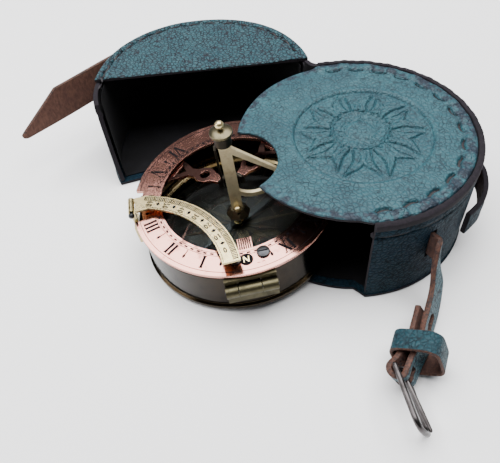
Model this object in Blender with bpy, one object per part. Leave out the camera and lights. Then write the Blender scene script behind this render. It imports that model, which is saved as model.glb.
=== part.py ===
"""Pocket sundial: an equatorial dial on a compass, half out of its round leather case.

The world origin is the middle of the case's underside, +Z is up, and the case's mouth
faces -X. Every shape is drawn in millimetres and stored in metres. The sundial lies
tilted on the edge of the case's base, so its pieces are drawn in a frame of their own.
"""

from math import copysign, cos, pi, radians, sin

import bmesh
import bpy
from mathutils import Matrix, Vector

MM = 0.001
GAP = 0.3  # between pieces that touch

# The leather case
CASE_R = 46.0
CASE_H = 39.8
LEATHER = 2.2
SHEET = 1.6  # the thinner leather of the bases
LINING = 0.4
WALL_R = CASE_R - 2.5  # inside of the wall
FREE_R = 42.3  # edge of the case's top and base where no wall holds them
WALL_FROM, WALL_TO = -92.0, 97.0
NOTCH = (-43.9, -8.6, 15.6)  # thumb notch in the top's free edge: centre and radius
LINING_NOTCH_R = 20.0

# The flap, hinged on the leather at the end of the wall
HINGE_LINE = (-7.5, 46.0)
FLAP_CENTRE = (-46.8, -1.15)  # from the hinge line
FLAP_FROM = 4.0
FLAP_TOP_ENDS = (7.1, 192.9)
FLAP_BASE_END = 205.0

# The closing strap, sewn to the flap, and the buckle strap, sewn into the wall
STRAP_AT = 131.5  # where it leaves the flap's wall
STRAP_LOW, STRAP_HIGH = 21.0, 36.5
STRAP_T = 1.8
STRAP_LONG, STRAP_SHOULDER = 64.0, 43.5
SLIT_AT = -64.0
SLIT_LOW, SLIT_HIGH = 16.0, 28.0
BILLET_T = 1.9
BILLET_W = 10.5
STRAP_LEAN = (-5.2, -0.6, 10.8)  # the way across the billet, from its low edge to its high one
BUCKLE_AT = (2.2, -79.6, 7.7)
BUCKLE_RUN = (0.10, -0.99, -0.02)
BUCKLE_LONG, BUCKLE_HALF, BUCKLE_CORNER = 19.0, 6.7, 4.0
BUCKLE_WIRE = 0.95
BAR_R = 0.8
WRAP_R = 2.6  # middle of the strap's turn round the bar
PRONG_SLOT = (4.3, 3.4)  # radius, and width across the strap
STRAP_HOLE = ((15.3, -63.5, 6.2), 3.2, 2.0)  # middle, half its straight length, and end radius
KEEPER_AT = (9.2, -73.7, 8.6)
KEEPER_RUN = (-0.45, -0.89, 0)
KEEPER_OUT, KEEPER_IN = (7.4, 8.1), (6.25, 6.95)  # half across the strap, and half through it
KEEPER_HALF_LONG = 4.0
KEEPER_SQUARE = 0.5  # 1 for an ellipse, towards 0 for a box

# The strap's loop on the back of the wall: azimuths, and how far it stands off the wall
LOOP_AT = (-40.0, -36.0, -30.0, -22.0, -14.0, -8.0, -4.0)
LOOP_OFF = (0.3, 1.3, 2.6, 3.0, 2.6, 1.3, 0.3)
LOOP_LOW, LOOP_LEAN = 12.5, 2.0  # its low edge, and how much it climbs

# The sundial's place: its underside tilts, one edge on the table and the rest on the case's base
DIAL_AT = (-44.33, -9.19, 2.6)
DIAL_TILT = 3.75
DIAL_TURN = 5.0
BOX_R, FLANGE_R = 36.7, 37.7
BOX_H = 18.0
BOX_IN_R, LEDGE_R, LEDGE_Z = 35.3, 33.4, 5.3
FLOOR_Z = 1.5
GLASS_R, GLASS_LOW, GLASS_HIGH = 34.9, 5.6, 6.4
CARD_R, CARD_T = 33.0, 0.5
NEEDLE_AT = 31.0
NEEDLE_HALF = (25.0, 2.2)  # its length and its waist

# The dial's hinge, at the box's north side
BARREL = (0.0, -39.6, 14.8)
BARREL_R = 2.1
LEAF_HALF = 9.0
KNUCKLES = (-9.0, -4.55, 3.55, 9.0)
PIN_R = 0.6
DIAL_LIFT = 2.64  # how far open the dial stands on its hinge

# The hour ring, from the hinge's axis to the middle of its upper face
RING_AT = (0.6, 39.8, 5.9)
RING_R, RING_IN_R, RING_T = 37.9, 27.7, 1.3
RING_NOTCH = (165.0, 188.4, 35.0)
ARM_DIRECTIONS = (45.0, 141.0)
TONGUE = ((-2.5, 2.5), (-29.0, -22.8))  # on the ring, towards the gnomon
ARM_T, ARM_FOOT_Z, ARM_HEAD_Z = 1.4, -1.2, 3.2
ARM_WIDTHS = (  # half widths of an arm, by distance from the gnomon's axis
    (5.4, 1.7), (8, 2.0), (10, 3.2), (12, 3.7), (14, 3.3), (16, 2.0), (19, 1.8), (22.5, 3.8), (26.6, 5.8),
)
SCREWS = ((5.6, -30.4), (-4.4, -31.2))
SCREW_HOLE_R = 1.3
SCREW_HEAD = [(0, -1.3), (0.95, -1.3), (0.95, GAP), (2.3, GAP), (2.3, 0.7), (1.7, 1.0), (0, 1.0)]

# The latitude arc, from its pin, and its bracket on the box's west side
ARC_PIN = (-37.6, 0.0, 25.0)
ARC_CENTRE = (-5.5, -36.3)
ARC_R, ARC_IN_R, ARC_T = 41.4, 35.2, 0.9
ARC_FROM, ARC_TO = 2.0, 75.0
ARC_KNUCKLE_R = 1.2

# The gnomon, above and below the ring's upper face
COLLAR_LOW = -13.6
BLADE_LOW, BLADE_HIGH = -11.2, 23.6
BLADE_HALF_W, BLADE_T = 2.15, 1.5
HUB_R, HUB_LOW, HUB_HIGH = 3.1, 1.3, 5.8
SOCKET_R = 5.0
BRACE_ARM = ((0.5, 23.4), (0.5, 19.8), (15.9, 6.2), (17.6, 6.7))
BRACE_CURVE = ((8.0, 5.0), 9.0, 1.05)  # centre, radius and half width


def finish(name, colour, roughness, metallic):
    material = bpy.data.materials.new(name)
    material.use_nodes = True
    shader = material.node_tree.nodes["Principled BSDF"]
    shader.inputs["Base Color"].default_value = (*colour, 1)
    shader.inputs["Roughness"].default_value = roughness
    shader.inputs["Metallic"].default_value = metallic
    material.diffuse_color = (*colour, 1)
    return material


def place(name, bm, material, parent=None):
    """A named object from a mesh drawn in millimetres."""
    bmesh.ops.remove_doubles(bm, verts=bm.verts, dist=1e-5)
    bmesh.ops.recalc_face_normals(bm, faces=bm.faces)
    bmesh.ops.scale(bm, vec=(MM, MM, MM), verts=bm.verts)
    mesh = bpy.data.meshes.new(name)
    bm.to_mesh(mesh)
    bm.free()
    mesh.materials.append(material)
    mesh.shade_smooth()
    mesh.set_sharp_from_angle(angle=radians(35))
    made = bpy.data.objects.new(name, mesh)
    bpy.context.scene.collection.objects.link(made)
    made.parent = parent
    return made


def frame(name, at, turn=None, parent=None):
    """An empty that pieces are drawn in, at a place in millimetres."""
    empty = bpy.data.objects.new(name, None)
    empty.empty_display_size = 0.01
    bpy.context.scene.collection.objects.link(empty)
    empty.parent = parent
    empty.matrix_local = Matrix.Translation(Vector(at) * MM) @ (turn or Matrix())
    return empty


def boolean(piece, operation, bm):
    """Cuts a closed mesh from a piece, or joins it on. Both are drawn in the piece's frame."""
    count = len(piece.modifiers) + 1
    helper = place(f"{piece.name}_{operation.lower()}_{count}", bm, piece.data.materials[0], piece.parent)
    helper.hide_render = True
    helper.display_type = "WIRE"
    modifier = piece.modifiers.new(f"{operation.title()} {count}", "BOOLEAN")
    modifier.operation = operation
    modifier.object = helper
    return piece


def cut(piece, bm):
    return boolean(piece, "DIFFERENCE", bm)


def join(piece, bm):
    return boolean(piece, "UNION", bm)


def loft(sections, closed=False):
    """A skin through outlines of equal length, capped at both ends unless it closes on itself."""
    bm = bmesh.new()
    rings = [[bm.verts.new(point) for point in section] for section in sections]
    for low, high in zip(rings, rings[1:] + rings[:1] if closed else rings[1:]):
        for i in range(len(low)):
            j = (i + 1) % len(low)
            bm.faces.new((low[i], low[j], high[j], high[i]))
    if not closed:
        bm.faces.new(rings[0][::-1])
        bm.faces.new(rings[-1])
    return bm


def plate(outline, low, high):
    return loft([[(x, y, z) for x, y in outline] for z in (low, high)])


def box(x, y, z):
    corners = [(x[0], y[0]), (x[1], y[0]), (x[1], y[1]), (x[0], y[1])]
    return plate(corners, *z)


def arc(radius, start, end, step=5.0, centre=(0, 0)):
    """Points along a circle, from one angle to another in degrees."""
    count = max(1, round(abs(end - start) / step))
    angles = [radians(start + (end - start) * i / count) for i in range(count + 1)]
    return [(centre[0] + radius * cos(a), centre[1] + radius * sin(a)) for a in angles]


def turned(profile, steps=48):
    """A closed outline of radius and height, turned about Z."""
    turns = [2 * pi * i / steps for i in range(steps)]
    return loft([[(r * cos(a), r * sin(a), z) for r, z in profile] for a in turns], closed=True)


def band(inner, outer, start, end, low, high, centre=(0, 0), skew=0.0, step=5.0):
    """An upright wall along a circle. Its far end leans by skew degrees from top to bottom."""
    count = max(1, round(abs(end - start) / step))
    sections = []
    for i in range(count + 1):
        top = radians(start + (end - start) * i / count)
        foot = radians(start + (end + skew - start) * i / count)
        corners = ((inner, foot, low), (outer, foot, low), (outer, top, high), (inner, top, high))
        sections.append([(centre[0] + r * cos(a), centre[1] + r * sin(a), z) for r, a, z in corners])
    return loft(sections)


def rod(start, end, radii, sides=16):
    """A round bar between two points, with a radius for each evenly spaced station."""
    start, end = Vector(start), Vector(end)
    across = (end - start).orthogonal().normalized()
    up = (end - start).normalized().cross(across)
    sections = []
    for i, radius in enumerate(radii):
        middle = start.lerp(end, i / (len(radii) - 1))
        ways = [(radius * cos(2 * pi * k / sides), radius * sin(2 * pi * k / sides)) for k in range(sides)]
        sections.append([middle + across * u + up * v for u, v in ways])
    return loft(sections)


def ball(centre, radius, sides=16, rows=8):
    heights = [(radius * sin(pi * i / rows), -radius * cos(pi * i / rows)) for i in range(rows + 1)]
    bm = turned(heights, sides)
    bmesh.ops.translate(bm, vec=centre, verts=bm.verts)
    return bm


def ribbon(middles, across, thickness):
    """A strap along a path, with a vector across its width at each point."""
    sections = []
    for i, middle in enumerate(middles):
        before, after = middles[max(i - 1, 0)], middles[min(i + 1, len(middles) - 1)]
        half = across[i] / 2
        face = (after - before).cross(half).normalized() * thickness / 2
        near, far = middle - half, middle + half
        sections.append([near - face, far - face, far + face, near + face])
    return loft(sections)


def moved(bm, matrix):
    bmesh.ops.transform(bm, matrix=matrix, verts=bm.verts)
    return bm


def case_outline(inset=0.0):
    """The case's disc: full along the wall, smaller where it is free."""
    held = arc(CASE_R - inset, WALL_FROM, WALL_TO, 4.0)
    free = arc(FREE_R - inset, WALL_TO + 5, 360 + WALL_FROM - 5, 4.0)
    return held + free


def notch(radius, low, high):
    return plate(arc(radius, 0, 352, 8.0, NOTCH[:2]), low, high)


def slit_cutter():
    slit = box((WALL_R - 4, CASE_R + 3), (-1.4, 1.4), (SLIT_LOW - 0.6, SLIT_HIGH + 0.6))
    return moved(slit, Matrix.Rotation(radians(SLIT_AT), 4, "Z"))


def make_case(leather, lining, edge):
    top_low = CASE_H - LEATHER
    low, high = SHEET + GAP, top_low - GAP
    place("case_base", plate(case_outline(), 0, SHEET), leather)
    wall = place("case_wall", band(WALL_R, CASE_R, WALL_FROM, WALL_TO, low, high), leather)
    cut(wall, slit_cutter())
    top = place("case_top", plate(case_outline(), top_low, CASE_H), leather)
    cut(top, notch(NOTCH[2], top_low - 1, CASE_H + 1))

    skin_r = WALL_R - GAP
    place("case_base_lining", plate(case_outline(3.0), low, low + LINING), lining)
    roof = place("case_top_lining", plate(case_outline(3.6), high - LINING, high), lining)
    cut(roof, notch(LINING_NOTCH_R, high - 1, high + 1))
    skin = band(skin_r - LINING, skin_r, WALL_FROM + 1, WALL_TO - 1, low + 1, high - 1)
    cut(place("case_wall_lining", skin, lining), slit_cutter())

    place("leather_hinge", rod((*HINGE_LINE, low), (*HINGE_LINE, high), (1.0, 1.0), 12), leather)
    out = Vector((cos(radians(SLIT_AT)), sin(radians(SLIT_AT)), 0))
    tab = [out * (WALL_R - 2), out * (CASE_R + 1)]
    middles = [point + Vector((0, 0, (SLIT_LOW + SLIT_HIGH) / 2)) for point in tab]
    up = Vector((0, 0, SLIT_HIGH - SLIT_LOW))
    place("strap_anchor", ribbon(middles, [up, up], BILLET_T), edge)


def half_moon(radius, start, end):
    return arc(radius, start, end, 5.0, FLAP_CENTRE)


def flap_base_outline(inset=0.0):
    """The base's arc, closed by a straight edge from its far corner to beside the hinge."""
    near = Vector((-2.6, -1.0))
    rim = half_moon(CASE_R - inset, FLAP_FROM + inset, FLAP_BASE_END - inset)
    return rim + [tuple(near + Vector((-2.0, 0.5)) * inset)]


def make_flap(leather, lining, edge):
    flap = frame("flap_frame", (*HINGE_LINE, 0))
    top_low = CASE_H - LEATHER
    low, high = SHEET + GAP, top_low - GAP
    start, end = FLAP_TOP_ENDS
    skew = FLAP_BASE_END - end
    place("flap_base", plate(flap_base_outline(), 0, SHEET), leather, flap)
    wall = band(WALL_R, CASE_R, FLAP_FROM, end, low, high, FLAP_CENTRE, skew)
    place("flap_wall", wall, leather, flap)
    place("flap_top", plate(half_moon(CASE_R, start, end), top_low, CASE_H), leather, flap)

    skin_r = WALL_R - 2 * GAP
    place("flap_base_lining", plate(flap_base_outline(3.0), low, low + LINING), lining, flap)
    roof = plate(half_moon(CASE_R - 3.6, start, end), high - LINING, high)
    place("flap_top_lining", roof, lining, flap)
    skin = band(skin_r - LINING, skin_r, FLAP_FROM + 2, end - 1, low + 1, high - 1, FLAP_CENTRE, skew)
    place("flap_wall_lining", skin, lining, flap)

    inner = CASE_R + GAP
    sewn = band(inner, inner + STRAP_T, STRAP_AT - 30, STRAP_AT - 2, STRAP_LOW, STRAP_HIGH, FLAP_CENTRE)
    place("closing_strap_tail", sewn, edge, flap)
    radius = inner + STRAP_T / 2
    at = [FLAP_CENTRE[0] + radius * cos(radians(STRAP_AT)), FLAP_CENTRE[1] + radius * sin(radians(STRAP_AT))]
    strap = frame("closing_strap_frame", (*at, 0), Matrix.Rotation(radians(STRAP_AT + 90), 4, "Z"), flap)
    outline = [
        (1.2, STRAP_LOW),
        (STRAP_LONG, STRAP_LOW),
        (STRAP_LONG + 0.8, STRAP_LOW + 2.4),
        (STRAP_SHOULDER, STRAP_HIGH),
        (1.2, STRAP_HIGH),
    ]
    sides = (-STRAP_T / 2, STRAP_T / 2)
    place("closing_strap", loft([[(x, y, z) for x, z in outline] for y in sides]), edge, strap)


def buckle_axes():
    """The buckle's run, its way across, and the way out of its front face."""
    run = Vector(BUCKLE_RUN).normalized()
    across = Vector(STRAP_LEAN)
    across = (across - run * across.dot(run)).normalized()
    return run, across, across.cross(run)


def billet_route():
    """The strap from the wall to the buckle's bar, round the bar and back, in the case's frame."""
    out = Vector((cos(radians(SLIT_AT)), sin(radians(SLIT_AT)), 0)) * (CASE_R + 2.6)
    upright, lean = Vector((0, 0, SLIT_HIGH - SLIT_LOW)), Vector(STRAP_LEAN)
    fall = [
        (out + Vector((0, 0, 22)), upright),
        (Vector((20.9, -46.2, 20.6)), upright.lerp(lean, 0.4)),
        (Vector((21.2, -49.0, 14.8)), lean),
        (Vector((20.8, -52.2, 9.0)), lean),
        (Vector((18.8, -57.0, 6.3)), lean),
    ]
    laid = [(15.3, -63.5, 5.6), (11.6, -70.9, 7.7), (7.4, -76.4, 8.1)]
    wrap = [(*point, BUCKLE_AT[2]) for point in arc(WRAP_R, -20, -230, 42.0, BUCKLE_AT[:2])]
    back = [(3.8, -74.9, 7.2), (8.5, -69.5, 6.8), (12.0, -63.3, 6.2), (15.0, -57.4, 6.0)]
    return fall + [(Vector(point), lean) for point in laid + wrap + back]


def make_strap_loop(leather):
    """The strap where it runs outside the wall before its slit, standing a little off it."""
    middles = []
    for azimuth, off in zip(LOOP_AT, LOOP_OFF):
        radius = CASE_R + off + BILLET_T / 2
        share = (azimuth - LOOP_AT[0]) / (LOOP_AT[-1] - LOOP_AT[0])
        height = LOOP_LOW + BILLET_W / 2 + LOOP_LEAN * share
        middles.append(Vector((radius * cos(radians(azimuth)), radius * sin(radians(azimuth)), height)))
    up = Vector((0, 0, BILLET_W))
    place("strap_loop", ribbon(middles, [up] * len(middles), BILLET_T), leather)


def strap_hole():
    """A round-ended slot through the billet."""
    middle, half_long, radius = STRAP_HOLE
    way, along = Vector(STRAP_LEAN).normalized(), Vector((3.5, 7.0, 0)).normalized()
    through = along.cross(way)
    outline = arc(radius, -90, 90, 30, (half_long, 0)) + arc(radius, 90, 270, 30, (-half_long, 0))
    reach = BILLET_T * 0.8
    edge = [Vector(middle) + along * x + way * y for x, y in outline]
    return loft([[point + through * d for point in edge] for d in (-reach, reach)])


def make_billet(strap, to_strap, leather):
    route = billet_route()
    across = [way.normalized() * BILLET_W for _, way in route]
    billet = ribbon([middle for middle, _ in route], across, BILLET_T)
    made = place("buckle_strap", moved(billet, to_strap), leather, strap)
    up = buckle_axes()[1]
    bar, (radius, width) = Vector(BUCKLE_AT), PRONG_SLOT
    slot = rod(bar - up * width / 2, bar + up * width / 2, (radius, radius), 20)
    cut(made, moved(slot, to_strap))
    cut(made, moved(strap_hole(), to_strap))


def make_keeper(strap, out, leather):
    """The loose loop that holds the strap's end, an oblong with round corners."""
    way, run = Vector(STRAP_LEAN).normalized(), Vector(KEEPER_RUN).normalized()
    over = (way - run * way.dot(run)).normalized()
    through = over.cross(run)
    loops = []
    for half_over, half_through in (KEEPER_OUT, KEEPER_IN):
        loop = []
        for i in range(24):
            c, s = cos(2 * pi * i / 24), sin(2 * pi * i / 24)
            x, y = copysign(abs(c) ** KEEPER_SQUARE, c), copysign(abs(s) ** KEEPER_SQUARE, s)
            loop.append(over * half_over * x + through * half_through * y)
        loops.append(loop)
    half = run * KEEPER_HALF_LONG
    sections = [[outer - half, outer + half, inner + half, inner - half] for outer, inner in zip(*loops)]
    keeper = frame("strap_keeper_frame", Vector(KEEPER_AT) - out, parent=strap)
    place("strap_keeper", loft(sections, closed=True), leather, keeper)


def make_buckle(strap, out, iron):
    run, up, face = buckle_axes()
    to_buckle = Matrix((run, up, face)).transposed().to_4x4()
    buckle = frame("buckle_seat", Vector(BUCKLE_AT) - out, to_buckle, strap)
    half, wire, corner = BUCKLE_HALF, BUCKLE_WIRE, BUCKLE_CORNER
    end = half - wire - GAP
    place("buckle_bar", rod((0, -end, 0), (0, end, 0), (BAR_R, BAR_R), 12), iron, buckle)

    path = [(-1.6, -half)]
    path += arc(corner, -90, 0, 30, (BUCKLE_LONG - corner, -half + corner))
    path += arc(corner, 0, 90, 30, (BUCKLE_LONG - corner, half - corner))
    path += [(-1.6, half)]
    ways = arc(wire, 0, 324, 36)
    sections = []
    for i, (x, y) in enumerate(path):
        before, after = path[max(i - 1, 0)], path[min(i + 1, len(path) - 1)]
        ahead = Vector((after[0] - before[0], after[1] - before[1], 0)).normalized()
        side = Vector((-ahead.y, ahead.x, 0))
        sections.append([Vector((x, y, 0)) + side * u + Vector((0, 0, v)) for u, v in ways])
    place("buckle_frame", loft(sections), iron, buckle)

    prong = frame("buckle_prong_frame", (0, 0, 0), parent=buckle)
    inner, outer, eye_half = BAR_R + 0.35, 2.1, 1.3
    eye = turned([(inner, -eye_half), (outer, -eye_half), (outer, eye_half), (inner, eye_half)], 20)
    tongue = place("buckle_prong", moved(eye, Matrix.Rotation(pi / 2, 4, "X")), iron, prong)
    join(tongue, rod((1.6, 0, 0.5), (BUCKLE_LONG + 0.6, 0, 1.95), (0.85, 0.8, 0.6), 10))


def make_buckle_strap(leather, iron):
    out = Vector((cos(radians(SLIT_AT)), sin(radians(SLIT_AT)), 0)) * (CASE_R + 2.2)
    strap = frame("buckle_strap_frame", out)
    make_billet(strap, Matrix.Translation(-out), leather)
    make_keeper(strap, out, leather)
    make_buckle(strap, out, iron)


def make_box(frame_of_dial, bronze, brass, card, glass, steel):
    bowl = [(0, 0), (FLANGE_R, 0), (FLANGE_R, 1.4), (BOX_R, 2.0), (BOX_R, BOX_H - 0.4), (BOX_R - 0.4, BOX_H)]
    bowl += [(BOX_IN_R, BOX_H), (BOX_IN_R, LEDGE_Z), (LEDGE_R, LEDGE_Z), (LEDGE_R, FLOOR_Z), (0, FLOOR_Z)]
    place("compass_box", turned(bowl, 72), bronze, frame_of_dial)
    low, high = FLOOR_Z + GAP, FLOOR_Z + GAP + CARD_T
    disc = [(0, low), (CARD_R, low), (CARD_R, high), (0, high)]
    place("compass_card", turned(disc, 48), card, frame_of_dial)
    top = high + GAP
    pivot = [(0, top), (1.6, top), (1.6, top + 0.3), (0.5, top + 0.5), (0, top + 1.2)]
    place("compass_pivot", turned(pivot, 16), brass, frame_of_dial)
    pane = [(0, GLASS_LOW), (GLASS_R, GLASS_LOW), (GLASS_R, GLASS_HIGH), (0, GLASS_HIGH)]
    place("compass_glass", turned(pane, 48), glass, frame_of_dial)
    ring_low = GLASS_HIGH + GAP
    ring = [(32.4, ring_low), (GLASS_R, ring_low), (GLASS_R, ring_low + 0.9), (33.2, ring_low + 0.9)]
    place("glass_ring", turned(ring, 48), brass, frame_of_dial)

    turn = Matrix.Rotation(radians(NEEDLE_AT), 4, "Z")
    needle = frame("compass_needle_frame", (0, 0, top + 1.2 + GAP), turn, frame_of_dial)
    tip, waist = NEEDLE_HALF
    arrow = [(-tip, -0.3), (0, -waist), (tip, -0.3), (tip, 0.3), (0, waist), (-tip, 0.3)]
    place("compass_needle", plate(arrow, 0, 0.35), steel, needle)
    cap = [(0, 0.65), (2.0, 0.65), (1.6, 1.0), (0, 1.15)]
    place("needle_cap", turned(cap, 16), brass, needle)


def knuckle(start, end):
    """A length of the hinge's barrel, along its axis."""
    return rod((start, 0, 0), (end, 0, 0), (BARREL_R, BARREL_R), 20)


def make_hinge(frame_of_dial, frame_of_lift, brass, steel):
    """The leaf on the box keeps the middle knuckle, and the leaf under the ring the outer two."""
    axis = frame("hinge_axis", BARREL, parent=frame_of_dial)
    left, first, second, right = KNUCKLES
    play = GAP / 2
    clear = BARREL_R + 0.6
    lower = place("hinge_box_leaf", box((-LEAF_HALF, LEAF_HALF), (1.5, 2.5), (-8.8, -clear)), brass, axis)
    join(lower, box((first + play, second - play), (1.5, 2.5), (-clear - 0.5, 0)))
    join(lower, knuckle(first + play, second - play))
    cut(lower, rod((left, 0, 0), (right, 0, 0), (PIN_R + GAP, PIN_R + GAP), 12))

    under = RING_AT[2] - RING_T - GAP
    leaf = box((-LEAF_HALF, LEAF_HALF), (1.5, 2.4), (clear, under))
    upper = place("hinge_dial_leaf", leaf, brass, frame_of_lift)
    join(upper, box((-LEAF_HALF + 0.2, LEAF_HALF - 0.2), (2.0, 11.2), (under - 0.8, under)))
    for start, end in ((left, first - play), (second + play, right)):
        join(upper, box((start, end), (1.5, 2.4), (0, clear + 0.5)))
        join(upper, knuckle(start, end))
    cut(upper, rod((left - 1, 0, 0), (right + 1, 0, 0), (PIN_R + GAP, PIN_R + GAP), 12))
    place("hinge_pin", rod((left - 0.3, 0, 0), (right + 0.3, 0, 0), (PIN_R, PIN_R), 12), steel, axis)


def make_ring(dial, copper, dark, steel):
    notch_from, notch_to, notch_r = RING_NOTCH
    outer = arc(RING_R, notch_to, 360 + notch_from, 4.0) + arc(notch_r, notch_from, notch_to, 4.0)
    inner = arc(RING_IN_R, notch_to, 360 + notch_from, 4.0) + arc(RING_IN_R, notch_from, notch_to, 4.0)
    sections = []
    for far, near in zip(outer, inner):
        corners = ((far, -RING_T), (far, 0), (near, 0), (near, -RING_T))
        sections.append([(*point, z) for point, z in corners])
    ring = place("hour_ring", loft(sections, closed=True), copper, dial)
    join(ring, box(*TONGUE, (-RING_T + 0.1, -0.1)))
    for i, (x, y) in enumerate(SCREWS, 1):
        cut(ring, rod((x, y, -3), (x, y, 1), (SCREW_HOLE_R, SCREW_HOLE_R), 12))
        seat = frame(f"screw_{i}_frame", (x, y, 0), parent=dial)
        screw = place(f"hinge_screw_{i}", turned(SCREW_HEAD, 16), steel, seat)
        cut(screw, box((-3, 3), (-0.25, 0.25), (0.6, 2)))

    head_x, foot_x = ARM_WIDTHS[0][0], ARM_WIDTHS[-1][0]
    for i, direction in enumerate(ARM_DIRECTIONS, 1):
        turn = frame(f"arm_{i}_frame", (0, 0, 0), Matrix.Rotation(radians(direction), 4, "Z"), dial)
        sections = []
        for x, half in ARM_WIDTHS:
            out = (x - head_x) / (foot_x - head_x)
            z = ARM_FOOT_Z + (ARM_HEAD_Z - ARM_FOOT_Z) * (1 - out**2)
            low, high = z - ARM_T / 2, z + ARM_T / 2
            sections.append([(x, -half, low), (x, half, low), (x, half, high), (x, -half, high)])
        arm = place(f"ring_arm_{i}", loft(sections), copper, turn)
        cut(arm, plate(arc(2.0, 0, 330, 30, (12.0, 0)), -4, 8))
        cut(arm, plate([(21.0, 0), (25.2, 3.2), (25.2, -3.2)], -4, 8))
    low, high = HUB_LOW + 0.2, HUB_HIGH - 0.8
    outside = [(SOCKET_R, low), (SOCKET_R, high - 0.6), (SOCKET_R - 0.6, high)]
    socket = [(HUB_R + GAP, low)] + outside + [(HUB_R + GAP, high)]
    behind = BLADE_T / 2 + GAP  # the hub and its socket stand only behind the gnomon's blade
    front = box((-9, 9), (-9, behind), (HUB_LOW - 2, HUB_HIGH + 2))
    cut(place("hub_socket", turned(socket, 32), dark, dial), front)


def make_latitude_arc(frame_of_dial, brass, steel):
    fold = frame("latitude_arc_frame", ARC_PIN, parent=frame_of_dial)
    half = ARC_T / 2
    scale = band(ARC_IN_R, ARC_R, ARC_FROM, ARC_TO, -half, half, ARC_CENTRE, step=4.0)
    made = place("latitude_arc", scale, brass, fold)
    join(made, box((1.5, 6.2), (-3.4, 3.5), (-half, half)))
    for low, high in ((-3.4, -1.5), (1.5, 3.4)):
        join(made, box((0, 2.5), (low, high), (-half, half)))
        join(made, rod((0, low, 0), (0, high, 0), (ARC_KNUCKLE_R, ARC_KNUCKLE_R), 16))
    cut(made, rod((0, -6, 0), (0, 6, 0), (0.85, 0.85), 12))
    pin = place("latitude_arc_pin", rod((0, -4.2, 0), (0, 3.8, 0), (0.55, 0.55), 12), steel, fold)
    join(pin, ball((0, -4.7, 0), 1.15))

    bracket = place("arc_bracket", box((-1.1, 0.5), (-1.2, 1.2), (-9.0, 0)), brass, fold)
    join(bracket, box((-1.1, 0.5), (-4.0, 4.0), (-16.0, -8.0)))
    join(bracket, rod((0, -1.2, 0), (0, 1.2, 0), (ARC_KNUCKLE_R, ARC_KNUCKLE_R), 16))
    cut(bracket, rod((0, -6, 0), (0, 6, 0), (0.85, 0.85), 12))


def make_gnomon(dial, brass, bronze, dark):
    spin = frame("gnomon_frame", (0, 0, 0), parent=dial)
    w, t = BLADE_HALF_W, BLADE_T / 2
    blade = box((-w, w), (-t, t), (BLADE_LOW, BLADE_HIGH))
    made = place("gnomon_blade", blade, brass, spin)
    join(made, loft([[(x, y, z) for x, z in BRACE_ARM] for y in (-t, t)]))
    centre, radius, half = BRACE_CURVE
    curve = arc(radius - half, -138, 6, 12.0, centre) + arc(radius + half, 10, -138, 12.0, centre)
    join(made, loft([[(x, y, z) for x, z in curve] for y in (-t, t)]))

    front = box((-9, 9), (-9, t + GAP), (HUB_LOW - 2, HUB_HIGH + 2))
    hub = [(0, HUB_LOW), (HUB_R, HUB_LOW), (HUB_R, HUB_HIGH - 0.7), (HUB_R - 0.8, HUB_HIGH), (0, HUB_HIGH)]
    cut(place("gnomon_hub", turned(hub, 32), dark, spin), front)

    low = COLLAR_LOW
    cone = [(0, low), (4.3, low), (4.7, low + 0.4), (4.7, low + 1.2), (2.7, low + 4.0), (0, low + 4.0)]
    collar = place("gnomon_collar", turned(cone, 8), bronze, spin)
    cut(collar, box((-w - GAP, w + GAP), (-t - GAP, t + GAP), (BLADE_LOW - GAP, 0)))
    for piece in (made, collar):
        cut(piece, rod((0, -6, low + 3.3), (0, 6, low + 3.3), (0.75, 0.75), 12))
    place("gnomon_foot_pin", rod((0, -3.1, low + 3.3), (0, 3.1, low + 3.3), (0.45, 0.45), 12), dark, spin)

    neck_low = BLADE_HIGH + GAP
    neck_high = neck_low + 3.4
    neck = [(0, neck_low), (3.1, neck_low), (2.9, neck_high), (0, neck_high)]
    place("gnomon_neck", turned(neck, 20), dark, spin)
    disc_low = neck_high + GAP
    disc_rim = [(2.4, disc_low), (4.0, disc_low + 0.9), (4.0, disc_low + 1.8), (2.6, disc_low + 2.6)]
    disc = [(0, disc_low)] + disc_rim + [(0, disc_low + 2.6)]
    place("gnomon_disc", turned(disc, 24), bronze, spin)
    place("gnomon_ball", ball((0, 0, disc_low + 2.6 + GAP + 1.6), 1.6), brass, spin)
    spring = box((-w - 1.6, -w - 0.8), (-1.4, 1.4), (HUB_HIGH + GAP, BLADE_HIGH - 1.0))
    place("gnomon_spring", spring, dark, spin)


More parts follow.
